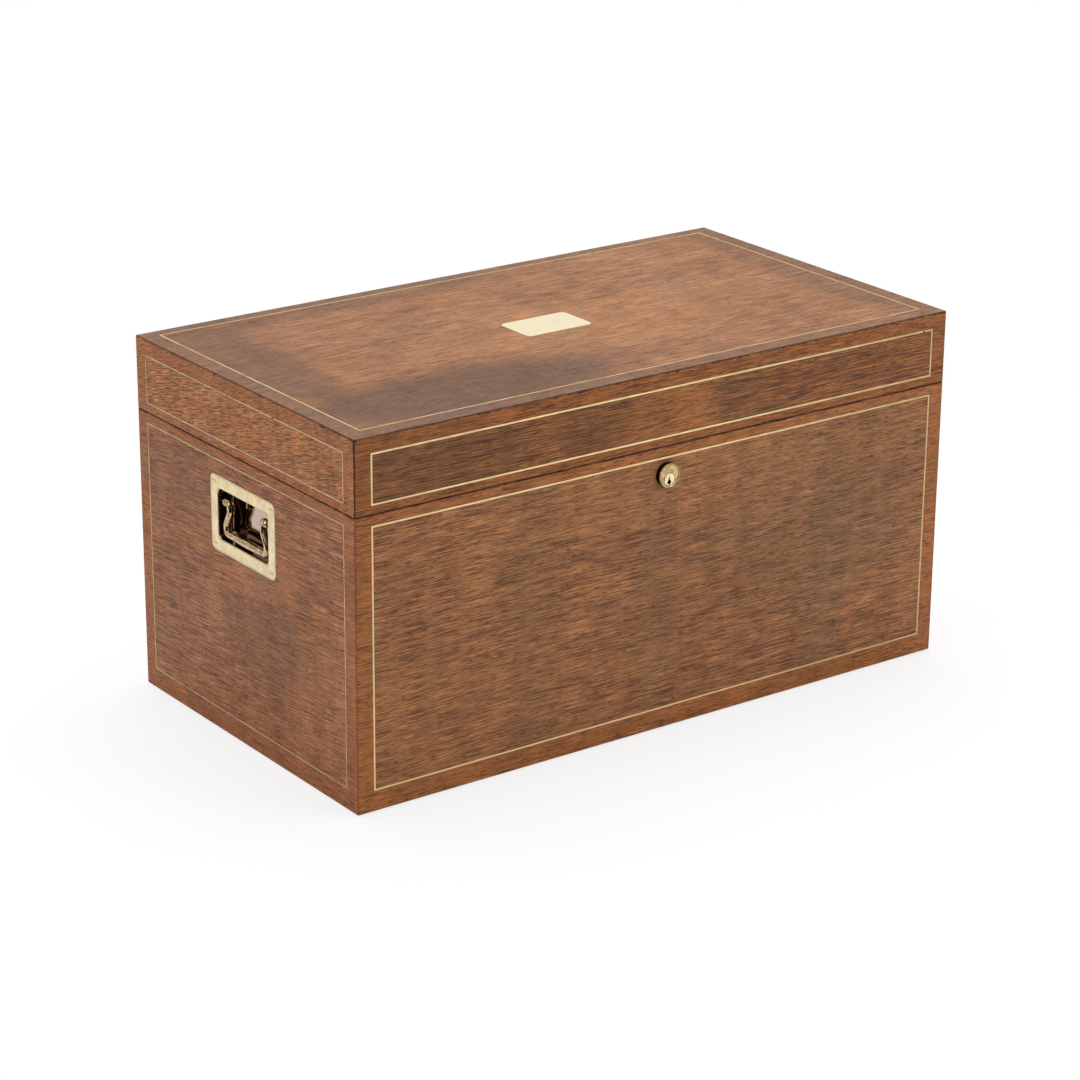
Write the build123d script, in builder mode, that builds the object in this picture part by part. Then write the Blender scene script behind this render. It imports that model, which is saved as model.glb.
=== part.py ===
"""Humidor: a lockable veneered box with a hinged lid, flush brass handles and a cedar-lined inside.

Millimetres. The origin is on the floor under the middle of the box, the front is at -Y and +Z is up.
The box is drawn closed and unlocked, with both handles hanging in their dishes.
"""

import os
from math import cos, radians, sin, sqrt

from build123d import *

os.makedirs("parts", exist_ok=True)


def keep(piece, name):
    """Label a finished piece and write it to its own file."""
    piece.part.label = name
    export_step(piece.part, f"parts/{name}.step")


# Overall size and the height of the joint between case and lid
width = 550.0
depth = 302.0
height = 285.0
rim_z = 227.0
seam_gap = 0.2
lid_z = rim_z + seam_gap

# Boards: mitred walls, a bevelled top let in between the lid walls, a bottom board in a rebate
wall = 19.0
top_board = 14.0
base_board = 12.0
base_rebate = 9.0
arris = 1.2
rim_ease = 0.5

# Baize glued under the box
baize = 1.0
baize_inset = 3.0
base_z = baize
base_top = base_z + base_board
ceiling_z = height - top_board

# Cedar lining, standing proud of the rim as a sealing lip
lining = 6.0
floor_lining = 5.0
lip = 6.0
lip_gap = 0.5
lip_ease = 1.5
lip_headroom = 1.0
inner_width = width - 2 * wall
inner_depth = depth - 2 * wall
clear_width = inner_width - 2 * lining
clear_depth = inner_depth - 2 * lining
lip_top = rim_z + lip
lid_lining_z = lip_top + lip_headroom

# String lines: centre lines measured in from the edges of each face
string_width = 1.5
string_deep = 1.0
string_mitre = 0.04
string_side = 14.5
string_under_rim = 8.6
string_over_base = 17.3
string_over_seam = 7.5
string_under_top = 12.9
string_top_side = 15.0
string_top_front = 15.5
string_top_back = 12.0

# Flush plate in the lid
plaque_width = 61.6
plaque_depth = 39.2
plaque_corner = 5.0
plaque_thick = 1.0
plaque_ease = 0.15
plaque_x = -2.8
plaque_y = -2.8

# Flush handle: a cast plate with a dish, and a swan-neck bail on two pins
plate_width = 90.0
plate_height = 60.0
plate_corner = 6.0
plate_thick = 2.0
plate_below_rim = 20.7
dish_width = 69.5
dish_height = 39.5
dish_corner = 4.5
dish_deep = 12.5
dish_wall = 1.6
dish_floor_round = 2.5
dish_lip_round = 1.0
handle_z = rim_z - plate_below_rim - plate_height / 2

bail_inset = 3.7
pivot_up = 9.8
pivot_out = 27.9
eye_r = 3.4
eye_half = 2.6
bail_pin_r = 1.5
bail_pin_play = 0.06
bail_pin_short = 0.3
arm_r = 2.9
grip_r = 3.35
grip_half = 17.0
grip_down = 15.0
neck_points = [(22.8, 11.6), (22.8, 3.0), (28.6, -7.5), (27.4, -grip_down)]
neck_radii = [3.2, 8.0, 8.0, 3.6]

handle_screw_inset = 5.3
handle_screw_length = 14.0

# Countersunk brass screws
screw_head_r = 2.7
screw_shank_r = 1.4
screw_tip = 2.5
screw_slot = 0.6
screw_slot_deep = 0.5

# Stop hinges: the noses behind the knuckles meet when the lid is fully open
lid_swing = 95.0
hinge_from_end = 85.0
hinge_length = 50.0
hinge_leaf = 14.0
hinge_thick = 2.0
hinge_sink = 0.05
hinge_stand = 3.3
knuckle_r = 3.0
knuckle_count = 5
knuckle_gap = 0.2
hinge_pin_r = 1.2
hinge_pin_play = 0.05
nose_r = 5.4
nose_play = 0.3
nose_end_angle = 88.0
nose_ease_angle = 0.3
hinge_screw_pitch = 18.0
hinge_screw_length = 11.0
hinge_y = depth / 2 + hinge_stand
hinge_z = rim_z + seam_gap / 2

# Cylinder lock and its box lock behind the front board
head_below_rim = 21.75
head_r = 9.65
head_proud = 4.0
head_side = 2.6
head_rim_outer = 9.2
head_rim_inner = 8.75
head_face_r = 8.45
head_face_sink = 0.4
barrel_r = 8.9
plug_r = 4.9
plug_play = 0.05
plug_below = 3.0
plug_proud = 0.25
plug_ease = 0.35
keyway = [(-0.9, 1.9), (0.1, 1.7), (0.2, -0.4), (1.5, -1.4), (1.6, -3.0), (0.6, -3.6), (0.5, -4.4),
          (-0.7, -4.4), (-0.8, -3.5), (-2.0, -2.8), (-2.0, -1.3), (-0.9, -0.5)]
keyway_deep = 10.0

lock_deep = 12.0
lock_wall = 1.5
lock_half = 27.0
lock_tall = 34.0
metal_sink = 0.05
selvedge_half = 34.0
selvedge_thick = 2.0
lock_screw_x = 30.5
lock_screw_length = 12.0

bolt_slide = 5.0
bolt_thick = 3.0
bolt_tall = 13.0
bolt_left = -23.0
bolt_right = 17.5
bolt_low_from_plug = 0.95
stud_x = 13.0
stud_r = 1.5
stud_play = 0.3
stud_over_plug = 9.3
cam_r = 5.6
cam_thick = 2.0
cam_gap = 0.2
peg_r = 1.5
peg_play = 0.3
peg_head = 0.4
peg_short = 0.2

staple_x = 10.0
staple_thick = 3.5
staple_drop = 9.0
staple_wall = 1.2
staple_play = 0.6
staple_foot = 1.6
staple_round = 1.8
slot_play = 0.75
tooth_length = 5.6
tooth_gap = 0.6
tooth_play = 0.5
stem_width = 3.4
link_half = 27.0
link_thick = 2.0
link_screw_x = 21.0
link_screw_length = 12.0

# Tray that lifts out, on cleats, with two dividers and an airy base
tray_gap = 1.0
tray_z = 178.0
tray_tall = 48.0
tray_side = 6.0
tray_floor = 4.0
divider_thick = 5.0
divider_low = 6.0
divider_count = 2
finger_r = 15.0
cleat_wide = 9.0
cleat_tall = 10.0
vent_wide = 6.0
vent_columns = 13
vent_rows = 3
vent_bridge = 12.0
vent_end_margin = 11.0
vent_side_margin = 24.0

# Humidifier held under the lid
mist_width = 160.0
mist_depth = 60.0
mist_tall = 14.0
mist_wall = 1.8
mist_cover = 1.6
mist_corner = 6.0
mist_slot_wide = 5.0
mist_slots = 11
mist_slot_end_margin = 8.0
mist_slot_side_margin = 12.5
mist_screw_margin = 20.0
mist_screw_length = 10.0
pad_gap = 0.3
pad_round = 2.0

# Outer planes of the box: local x runs left to right as seen from outside, local y runs up
front_face = Plane(origin=(0, -depth / 2, 0), x_dir=(1, 0, 0), z_dir=(0, -1, 0))
left_face = Plane(origin=(-width / 2, 0, 0), x_dir=(0, -1, 0), z_dir=(-1, 0, 0))
right_face = Plane(origin=(width / 2, 0, 0), x_dir=(0, 1, 0), z_dir=(1, 0, 0))
top_face = Plane.XY.offset(height)


def mitre_plan(side, outer_width, outer_depth, thick):
    """Plan of one board of a mitred frame, as a face on the floor."""
    x, y = outer_width / 2, outer_depth / 2
    corners = {
        "front": [(-x, -y), (x, -y), (x - thick, thick - y), (thick - x, thick - y)],
        "back": [(x, y), (-x, y), (thick - x, y - thick), (x - thick, y - thick)],
        "left": [(-x, y), (-x, -y), (thick - x, thick - y), (thick - x, y - thick)],
        "right": [(x, -y), (x, y), (x - thick, y - thick), (x - thick, thick - y)],
    }
    with BuildSketch() as plan:
        with BuildLine():
            Polyline(*corners[side], close=True)
        make_face()
    return plan.sketch


def line_ring(plane, left, right, low, high, mitred=False):
    """Outline of four string lines, given by their centre lines; mitred cuts them at the corners."""
    with BuildSketch(plane) as ring:
        with Locations(((left + right) / 2, (low + high) / 2)):
            Rectangle(right - left + string_width, high - low + string_width)
            Rectangle(right - left - string_width, high - low - string_width, mode=Mode.SUBTRACT)
        if mitred:
            for x, y, turn in ((left, low, 45), (right, low, -45), (right, high, 45), (left, high, -45)):
                with Locations((x, y)):
                    Rectangle(3 * string_width, string_mitre, rotation=turn, mode=Mode.SUBTRACT)
    return ring.sketch


def screw_group(plane, spots, length):
    """Countersunk wood screws with their heads flush in a plane, one at each spot."""
    with BuildPart() as screw:
        with BuildSketch(Plane.XZ):
            with BuildLine():
                Polyline(
                    (0, 0),
                    (screw_head_r, 0),
                    (screw_shank_r, screw_shank_r - screw_head_r),
                    (screw_shank_r, screw_tip - length),
                    (0, -length),
                    close=True,
                )
            make_face()
        revolve(axis=Axis.Z)
        with BuildSketch():
            Rectangle(3 * screw_head_r, screw_slot)
        extrude(amount=-screw_slot_deep, mode=Mode.SUBTRACT)
    with BuildPart(plane) as group:
        with Locations(*spots):
            add(screw.part)
    return group.part


def screw_bores(plane, spots, length):
    """Space that a group of screws takes up, to be cut out of what they hold."""
    sink = screw_head_r - screw_shank_r
    with BuildPart(plane) as bores:
        with Locations(*[(x, y, -length / 2) for x, y in spots]):
            Cylinder(screw_shank_r, length)
        with Locations(*[(x, y, -sink / 2) for x, y in spots]):
            Cone(screw_shank_r, screw_head_r, sink)
    return bores.part


# Ring of the four case walls, before it is parted at the mitres
with BuildPart() as case_ring:
    with BuildSketch(Plane.XY.offset(base_z)):
        Rectangle(width, depth)
    extrude(amount=rim_z - base_z)
    fillet(case_ring.edges().filter_by(Axis.Z), arris)
    chamfer(case_ring.faces().sort_by(Axis.Z)[-1].edges(), rim_ease)
    with BuildSketch(Plane.XY.offset(base_z)):
        Rectangle(inner_width, inner_depth)
    extrude(amount=rim_z - base_z, mode=Mode.SUBTRACT)
    with BuildSketch(Plane.XY.offset(base_z)):
        Rectangle(inner_width + 2 * base_rebate, inner_depth + 2 * base_rebate)
    extrude(amount=base_board, mode=Mode.SUBTRACT)

# Space of the bevelled top board, wide side up
with BuildPart() as top_space:
    with BuildSketch(Plane.XY.offset(ceiling_z)):
        Rectangle(width - 2 * top_board, depth - 2 * top_board)
    with BuildSketch(top_face):
        Rectangle(width, depth)
    loft(ruled=True)

# Lid as one rounded block, then the ring of its four walls
with BuildPart() as lid_block:
    with BuildSketch(Plane.XY.offset(lid_z)):
        Rectangle(width, depth)
    extrude(amount=height - lid_z)
    lid_low_edges = lid_block.faces().sort_by(Axis.Z)[0].edges()
    fillet(lid_block.edges() - lid_low_edges, arris)
    chamfer(lid_block.faces().sort_by(Axis.Z)[0].edges(), rim_ease)

with BuildPart() as lid_ring:
    add(lid_block.part)
    add(top_space.part, mode=Mode.SUBTRACT)
    with BuildSketch(Plane.XY.offset(lid_z)):
        Rectangle(inner_width, inner_depth)
    extrude(amount=ceiling_z - lid_z, mode=Mode.SUBTRACT)

# String lines and the grooves that hold them, one ring of each for every lined face
string_rings = {
    "case_front": (front_face, string_side - width / 2, width / 2 - string_side,
                   string_over_base, rim_z - string_under_rim),
    "case_left": (left_face, string_side - depth / 2, depth / 2 - string_side,
                  string_over_base, rim_z - string_under_rim),
    "case_right": (right_face, string_side - depth / 2, depth / 2 - string_side,
                   string_over_base, rim_z - string_under_rim),
    "lid_front": (front_face, string_side - width / 2, width / 2 - string_side,
                  lid_z + string_over_seam, height - string_under_top),
    "lid_left": (left_face, string_side - depth / 2, depth / 2 - string_side,
                 lid_z + string_over_seam, height - string_under_top),
    "lid_right": (right_face, string_side - depth / 2, depth / 2 - string_side,
                  lid_z + string_over_seam, height - string_under_top),
    "lid_top": (top_face, string_top_side - width / 2, width / 2 - string_top_side,
                string_top_front - depth / 2, depth / 2 - string_top_back),
}
grooves = {}
for place, ring in string_rings.items():
    grooves[place] = line_ring(*ring)
    strips = line_ring(*ring, mitred=True)
    with BuildPart() as string_lines:
        extrude(strips, amount=-string_deep)
    keep(string_lines, f"string_{place}")

# Spaces that the lock fills in the front board
board_back_y = wall - depth / 2
lock_y = board_back_y - lock_deep / 2
lock_front_y = board_back_y - lock_deep
rim_metal_z = rim_z - metal_sink
lid_metal_z = lid_z + metal_sink
selvedge_low = rim_metal_z - selvedge_thick
lock_low = rim_metal_z - lock_tall
head_z = rim_z - head_below_rim
plug_z = head_z - plug_below
rim_plane = Plane.XY.offset(rim_metal_z)
lock_screw_spots = [(-lock_screw_x, lock_y), (lock_screw_x, lock_y)]
link_screw_spots = [(-link_screw_x, -lock_y), (link_screw_x, -lock_y)]
link_plane = Plane(origin=(0, 0, lid_metal_z), x_dir=(1, 0, 0), z_dir=(0, 0, -1))

# Front board: pocket and selvedge recess for the lock, bore for the cylinder
lock_screw_bores = screw_bores(rim_plane, lock_screw_spots, lock_screw_length)
front_plan = mitre_plan("front", width, depth, wall)
with BuildPart() as case_front:
    add(case_ring.part)
    extrude(front_plan, amount=height, mode=Mode.INTERSECT)
    extrude(grooves["case_front"], amount=-string_deep, mode=Mode.SUBTRACT)
    with BuildSketch(Plane.XY.offset(lock_low)):
        with Locations((0, lock_y)):
            Rectangle(2 * lock_half, lock_deep)
    extrude(amount=rim_z - lock_low, mode=Mode.SUBTRACT)
    with BuildSketch(Plane.XY.offset(selvedge_low)):
        with Locations((0, lock_y)):
            Rectangle(2 * selvedge_half, lock_deep)
    extrude(amount=rim_z - selvedge_low, mode=Mode.SUBTRACT)
    with BuildSketch(front_face):
        with Locations((0, head_z)):
            Circle(barrel_r)
    extrude(amount=-wall, mode=Mode.SUBTRACT)
    add(lock_screw_bores, mode=Mode.SUBTRACT)
keep(case_front, "case_front")

# Hinge places: the middle of each hinge along the back
hinge_x = {"left": hinge_from_end - width / 2, "right": width / 2 - hinge_from_end}
leaf_mid_y = depth / 2 - hinge_leaf / 2
hinge_screw_steps = [-hinge_screw_pitch, 0.0, hinge_screw_pitch]
case_leaf_top = rim_z - hinge_sink
lid_leaf_low = lid_z + hinge_sink
case_leaf_plane = Plane.XY.offset(case_leaf_top)
lid_leaf_plane = Plane(origin=(0, 0, lid_leaf_low), x_dir=(1, 0, 0), z_dir=(0, 0, -1))
case_leaf_spots = [(x + step, leaf_mid_y) for x in hinge_x.values() for step in hinge_screw_steps]
lid_leaf_spots = [(x + step, -leaf_mid_y) for x in hinge_x.values() for step in hinge_screw_steps]
case_leaf_bores = screw_bores(case_leaf_plane, case_leaf_spots, hinge_screw_length)
lid_leaf_bores = screw_bores(lid_leaf_plane, lid_leaf_spots, hinge_screw_length)

# Back board: open mortises in the rim for the hinge leaves
back_plan = mitre_plan("back", width, depth, wall)
with BuildPart() as case_back:
    add(case_ring.part)
    extrude(back_plan, amount=height, mode=Mode.INTERSECT)
    with BuildSketch(Plane.XY.offset(case_leaf_top - hinge_thick)):
        with Locations(*[(x, leaf_mid_y) for x in hinge_x.values()]):
            Rectangle(hinge_length, hinge_leaf)
    extrude(amount=hinge_thick + hinge_sink, mode=Mode.SUBTRACT)
    add(case_leaf_bores, mode=Mode.SUBTRACT)
keep(case_back, "case_back")

# End boards: each has a stepped pocket for its flush handle
handle_planes = {
    "left": Plane(origin=(-width / 2, 0, handle_z), x_dir=left_face.x_dir, z_dir=left_face.z_dir),
    "right": Plane(origin=(width / 2, 0, handle_z), x_dir=right_face.x_dir, z_dir=right_face.z_dir),
}
handle_screw_x = plate_width / 2 - handle_screw_inset
handle_screw_y = plate_height / 2 - handle_screw_inset
handle_screw_spots = [(x, y) for x in (-handle_screw_x, handle_screw_x)
                      for y in (-handle_screw_y, handle_screw_y)]
handle_screw_bores = {side: screw_bores(plane, handle_screw_spots, handle_screw_length)
                      for side, plane in handle_planes.items()}
for side, plane in handle_planes.items():
    end_plan = mitre_plan(side, width, depth, wall)
    with BuildPart() as end_board:
        add(case_ring.part)
        extrude(end_plan, amount=height, mode=Mode.INTERSECT)
        extrude(grooves[f"case_{side}"], amount=-string_deep, mode=Mode.SUBTRACT)
        with BuildSketch(plane):
            RectangleRounded(plate_width, plate_height, plate_corner)
        extrude(amount=-plate_thick, mode=Mode.SUBTRACT)
        with BuildSketch(plane):
            RectangleRounded(dish_width + 2 * dish_wall, dish_height + 2 * dish_wall,
                             dish_corner + dish_wall)
        extrude(amount=-dish_deep - dish_wall, mode=Mode.SUBTRACT)
        add(handle_screw_bores[side], mode=Mode.SUBTRACT)
    keep(end_board, f"case_{side}_side")

# Bottom board in the rebate, and the baize under it
with BuildPart() as case_bottom:
    with BuildSketch(Plane.XY.offset(base_z)):
        Rectangle(inner_width + 2 * base_rebate, inner_depth + 2 * base_rebate)
    extrude(amount=base_board)
keep(case_bottom, "case_bottom")

with BuildPart() as base_baize:
    with BuildSketch():
        Rectangle(width - 2 * baize_inset, depth - 2 * baize_inset)
    extrude(amount=baize)
keep(base_baize, "base_baize")

# Cedar lining of the case: mitred walls with an eased lip, and a floor between them
with BuildPart() as lining_ring:
    with BuildSketch(Plane.XY.offset(base_top)):
        Rectangle(inner_width, inner_depth)
    extrude(amount=rim_z - base_top)
    with BuildSketch(Plane.XY.offset(rim_z)):
        Rectangle(inner_width - 2 * lip_gap, inner_depth - 2 * lip_gap)
    extrude(amount=lip)
    chamfer(lining_ring.faces().sort_by(Axis.Z)[-1].edges(), lip_ease)
    with BuildSketch(Plane.XY.offset(base_top)):
        Rectangle(clear_width, clear_depth)
    extrude(amount=lip_top - base_top, mode=Mode.SUBTRACT)

for side in ("front", "back", "left", "right"):
    lining_plan = mitre_plan(side, inner_width, inner_depth, lining)
    with BuildPart() as lining_board:
        add(lining_ring.part)
        extrude(lining_plan, amount=height, mode=Mode.INTERSECT)
    keep(lining_board, f"lining_{side}")

with BuildPart() as lining_bottom:
    with BuildSketch(Plane.XY.offset(base_top)):
        Rectangle(clear_width, clear_depth)
    extrude(amount=floor_lining)
keep(lining_bottom, "lining_bottom")

# Cleats along both ends, which the tray stands on
with BuildPart() as tray_cleats:
    with BuildSketch(Plane.XY.offset(tray_z - cleat_tall)):
        with Locations(((cleat_wide - clear_width) / 2, 0), ((clear_width - cleat_wide) / 2, 0)):
            Rectangle(cleat_wide, clear_depth)
    extrude(amount=cleat_tall)
keep(tray_cleats, "tray_cleats")

# Places of the humidifier's screws, which reach through the cedar into the lid top
mist_top_z = ceiling_z - floor_lining
mist_plane = Plane(origin=(0, 0, mist_top_z - mist_wall), x_dir=(1, 0, 0), z_dir=(0, 0, -1))
mist_screw_x = mist_width / 2 - mist_screw_margin
mist_screw_spots = [(-mist_screw_x, 0), (mist_screw_x, 0)]
mist_screw_bores = screw_bores(mist_plane, mist_screw_spots, mist_screw_length)

# Lid top: bevelled board with its string groove and the seat of the plate
with BuildPart() as lid_top:
    add(lid_block.part)
    add(top_space.part, mode=Mode.INTERSECT)
    extrude(grooves["lid_top"], amount=-string_deep, mode=Mode.SUBTRACT)
    with BuildSketch(top_face):
        with Locations((plaque_x, plaque_y)):
            RectangleRounded(plaque_width, plaque_depth, plaque_corner)
    extrude(amount=-plaque_thick, mode=Mode.SUBTRACT)
    add(mist_screw_bores, mode=Mode.SUBTRACT)
keep(lid_top, "lid_top")

with BuildPart() as lid_plaque:
    with BuildSketch(top_face):
        with Locations((plaque_x, plaque_y)):
            RectangleRounded(plaque_width, plaque_depth, plaque_corner)
    extrude(amount=-plaque_thick)
    chamfer(lid_plaque.faces().sort_by(Axis.Z)[-1].edges(), plaque_ease)
keep(lid_plaque, "lid_plaque")

# Lid walls: the front takes the link plate, the back takes the hinge leaves
link_screw_bores = screw_bores(link_plane, link_screw_spots, link_screw_length)
with BuildPart() as lid_front:
    add(lid_ring.part)
    extrude(front_plan, amount=height, mode=Mode.INTERSECT)
    extrude(grooves["lid_front"], amount=-string_deep, mode=Mode.SUBTRACT)
    with BuildSketch(Plane.XY.offset(lid_z)):
        with Locations((0, lock_y)):
            Rectangle(2 * link_half, lock_deep)
    extrude(amount=link_thick + metal_sink, mode=Mode.SUBTRACT)
    add(link_screw_bores, mode=Mode.SUBTRACT)
keep(lid_front, "lid_front")

with BuildPart() as lid_back:
    add(lid_ring.part)
    extrude(back_plan, amount=height, mode=Mode.INTERSECT)
    with BuildSketch(Plane.XY.offset(lid_z)):
        with Locations(*[(x, leaf_mid_y) for x in hinge_x.values()]):
            Rectangle(hinge_length, hinge_leaf)
    extrude(amount=hinge_thick + hinge_sink, mode=Mode.SUBTRACT)
    add(lid_leaf_bores, mode=Mode.SUBTRACT)
keep(lid_back, "lid_back")

for side in ("left", "right"):
    lid_side_plan = mitre_plan(side, width, depth, wall)
    with BuildPart() as lid_side:
        add(lid_ring.part)
        extrude(lid_side_plan, amount=height, mode=Mode.INTERSECT)
        extrude(grooves[f"lid_{side}"], amount=-string_deep, mode=Mode.SUBTRACT)
    keep(lid_side, f"lid_{side}_side")

# Cedar lining of the lid, stopping short of the lip
for side in ("front", "back", "left", "right"):
    lid_lining_plan = mitre_plan(side, inner_width, inner_depth, lining)
    with BuildPart() as lid_lining:
        with BuildSketch(Plane.XY.offset(lid_lining_z)):
            Rectangle(inner_width, inner_depth)
            Rectangle(clear_width, clear_depth, mode=Mode.SUBTRACT)
        extrude(amount=ceiling_z - lid_lining_z)
        extrude(lid_lining_plan, amount=height, mode=Mode.INTERSECT)
    keep(lid_lining, f"lid_lining_{side}")

with BuildPart() as lid_lining_top:
    with BuildSketch(Plane.XY.offset(mist_top_z)):
        Rectangle(clear_width, clear_depth)
    extrude(amount=floor_lining)
    add(mist_screw_bores, mode=Mode.SUBTRACT)
keep(lid_lining_top, "lid_lining_top")

# Flush handles. In a handle's plane x runs along the end of the box, y runs up and z points out
pan_half = dish_width / 2 + dish_wall
eye_inner = pivot_out - eye_half


def barrel(plane, x, y, half, middle_r, end_r):
    """A turned barrel on a plane, its axis along the plane's x through (x, y)."""
    with BuildPart() as turned:
        with BuildSketch(plane):
            with BuildLine():
                ThreePointArc((x - half, y + end_r), (x, y + middle_r), (x + half, y + end_r))
                Polyline((x + half, y + end_r), (x + half, y), (x - half, y), (x - half, y + end_r))
            make_face()
        revolve(axis=Axis(plane.from_local_coords((x, y, 0)), plane.x_dir))
    return turned.part


eye_end_r = sqrt(eye_r**2 - eye_half**2)
pin_sets = []
screw_sets = []
for side, plane in handle_planes.items():
    outward = Axis(plane.origin, plane.z_dir)
    bail_plane = Plane(plane.from_local_coords((0, 0, -bail_inset)), x_dir=plane.x_dir, z_dir=plane.z_dir)
    pin_plane = Plane(bail_plane.from_local_coords((0, pivot_up, 0)), x_dir=plane.z_dir, z_dir=plane.x_dir)
    screw_sets.append(screw_group(plane, handle_screw_spots, handle_screw_length))
    eye = barrel(bail_plane, pivot_out, pivot_up, eye_half, eye_r, eye_end_r)
    grip = barrel(bail_plane, 0, -grip_down, grip_half, grip_r, arm_r)

    with BuildPart() as dish_space:
        with BuildSketch(plane):
            RectangleRounded(dish_width, dish_height, dish_corner)
        extrude(amount=-dish_deep)
        fillet(dish_space.faces().sort_by(outward)[0].edges(), dish_floor_round)

    # Plate and dish, cast in one, with drilled ends for the pins
    with BuildPart() as handle_dish:
        with BuildSketch(plane):
            RectangleRounded(plate_width, plate_height, plate_corner)
        extrude(amount=-plate_thick)
        with BuildSketch(plane):
            RectangleRounded(dish_width + 2 * dish_wall, dish_height + 2 * dish_wall,
                             dish_corner + dish_wall)
        extrude(amount=-dish_deep - dish_wall)
        add(dish_space.part, mode=Mode.SUBTRACT)
        fillet(handle_dish.faces().sort_by(outward)[-1].inner_wires()[0].edges(), dish_lip_round)
        with BuildSketch(pin_plane):
            Circle(bail_pin_r)
        extrude(amount=pan_half, both=True, mode=Mode.SUBTRACT)
        add(handle_screw_bores[side], mode=Mode.SUBTRACT)
    keep(handle_dish, f"handle_dish_{side}")

    # Bail: a swan neck at each end, a ball eye on each pin and a swelling grip between them
    with BuildPart() as handle_bail:
        with BuildLine(bail_plane) as neck:
            FilletPolyline((pivot_out, pivot_up), *neck_points, (grip_half, -grip_down), radius=neck_radii)
        with BuildSketch(Plane(neck.line @ 0, z_dir=neck.line % 0)):
            Circle(arm_r)
        sweep()
        add(eye)
        with BuildSketch(pin_plane.offset(eye_inner)):
            Circle(bail_pin_r + bail_pin_play)
        extrude(amount=2 * eye_half, mode=Mode.SUBTRACT)
        mirror(about=Plane.XZ)
        add(grip)
    keep(handle_bail, f"handle_bail_{side}")

    # The two pins, driven in through the ends of the dish
    pin_start = eye_inner + bail_pin_short
    with BuildPart() as side_pins:
        with BuildSketch(pin_plane.offset(pin_start)):
            Circle(bail_pin_r)
        extrude(amount=pan_half - pin_start)
        mirror(about=Plane.XZ)
    pin_sets.append(side_pins.part)

with BuildPart() as handle_pivot_pins:
    add(pin_sets)
keep(handle_pivot_pins, "handle_pivot_pins")

with BuildPart() as handle_screws:
    add(screw_sets)
keep(handle_screws, "handle_screws")

# Cylinder of the lock: a turned head with a raised rim, and an eccentric bore for the plug
lock_inner_y = lock_front_y + lock_wall
head_plane = Plane(origin=(0, -depth / 2, head_z), x_dir=(1, 0, 0), z_dir=(0, 0, 1))
barrel_end = lock_inner_y + depth / 2
face_out = head_proud - head_face_sink
with BuildPart() as lock_cylinder:
    with BuildSketch(head_plane):
        with BuildLine():
            Polyline(
                (0, barrel_end),
                (barrel_r, barrel_end),
                (barrel_r, 0),
                (head_r, 0),
                (head_r, -head_side),
                (head_rim_outer, -head_proud),
                (head_rim_inner, -head_proud),
                (head_face_r, -face_out),
                (0, -face_out),
                close=True,
            )
        make_face()
    revolve(axis=Axis((0, 0, head_z), (0, 1, 0)))
    with BuildSketch(front_face.offset(face_out)):
        with Locations((0, plug_z)):
            Circle(plug_r + plug_play)
    extrude(amount=-face_out - barrel_end, mode=Mode.SUBTRACT)
    seat_edges = lock_cylinder.edges().filter_by(GeomType.CIRCLE).filter_by(
        lambda edge: abs(edge.radius - plug_r - plug_play) < plug_play)
    chamfer(seat_edges.sort_by(Axis.Y)[0], plug_ease)
keep(lock_cylinder, "lock_cylinder")

# Plug with its keyway, and the cam on its tail
plug_out = face_out + plug_proud
plug_end = barrel_end + cam_gap
with BuildPart() as lock_plug:
    with BuildSketch(front_face.offset(plug_out)):
        with Locations((0, plug_z)):
            Circle(plug_r)
    extrude(amount=-plug_out - plug_end)
    chamfer(lock_plug.faces().sort_by(Axis.Y)[0].edges(), plug_ease)
    with BuildSketch(front_face.offset(plug_out)):
        with BuildLine():
            Polyline(*[(x, plug_z + z) for x, z in keyway], close=True)
        make_face()
    extrude(amount=-keyway_deep, mode=Mode.SUBTRACT)
keep(lock_plug, "lock_plug")

bolt_back_y = lock_y + bolt_thick / 2
cam_back_y = lock_inner_y + cam_gap + cam_thick
peg_end_y = bolt_back_y - peg_short
with BuildPart() as lock_cam:
    with BuildSketch(front_face.offset(-plug_end)):
        with Locations((0, plug_z)):
            Circle(cam_r)
    extrude(amount=-cam_thick)
    with BuildSketch(front_face.offset(-plug_end - cam_thick)):
        with Locations((-bolt_slide / 2, plug_z + bolt_slide / 2)):
            Circle(peg_r)
    extrude(amount=cam_back_y - peg_end_y)
keep(lock_cam, "lock_cam")

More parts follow.
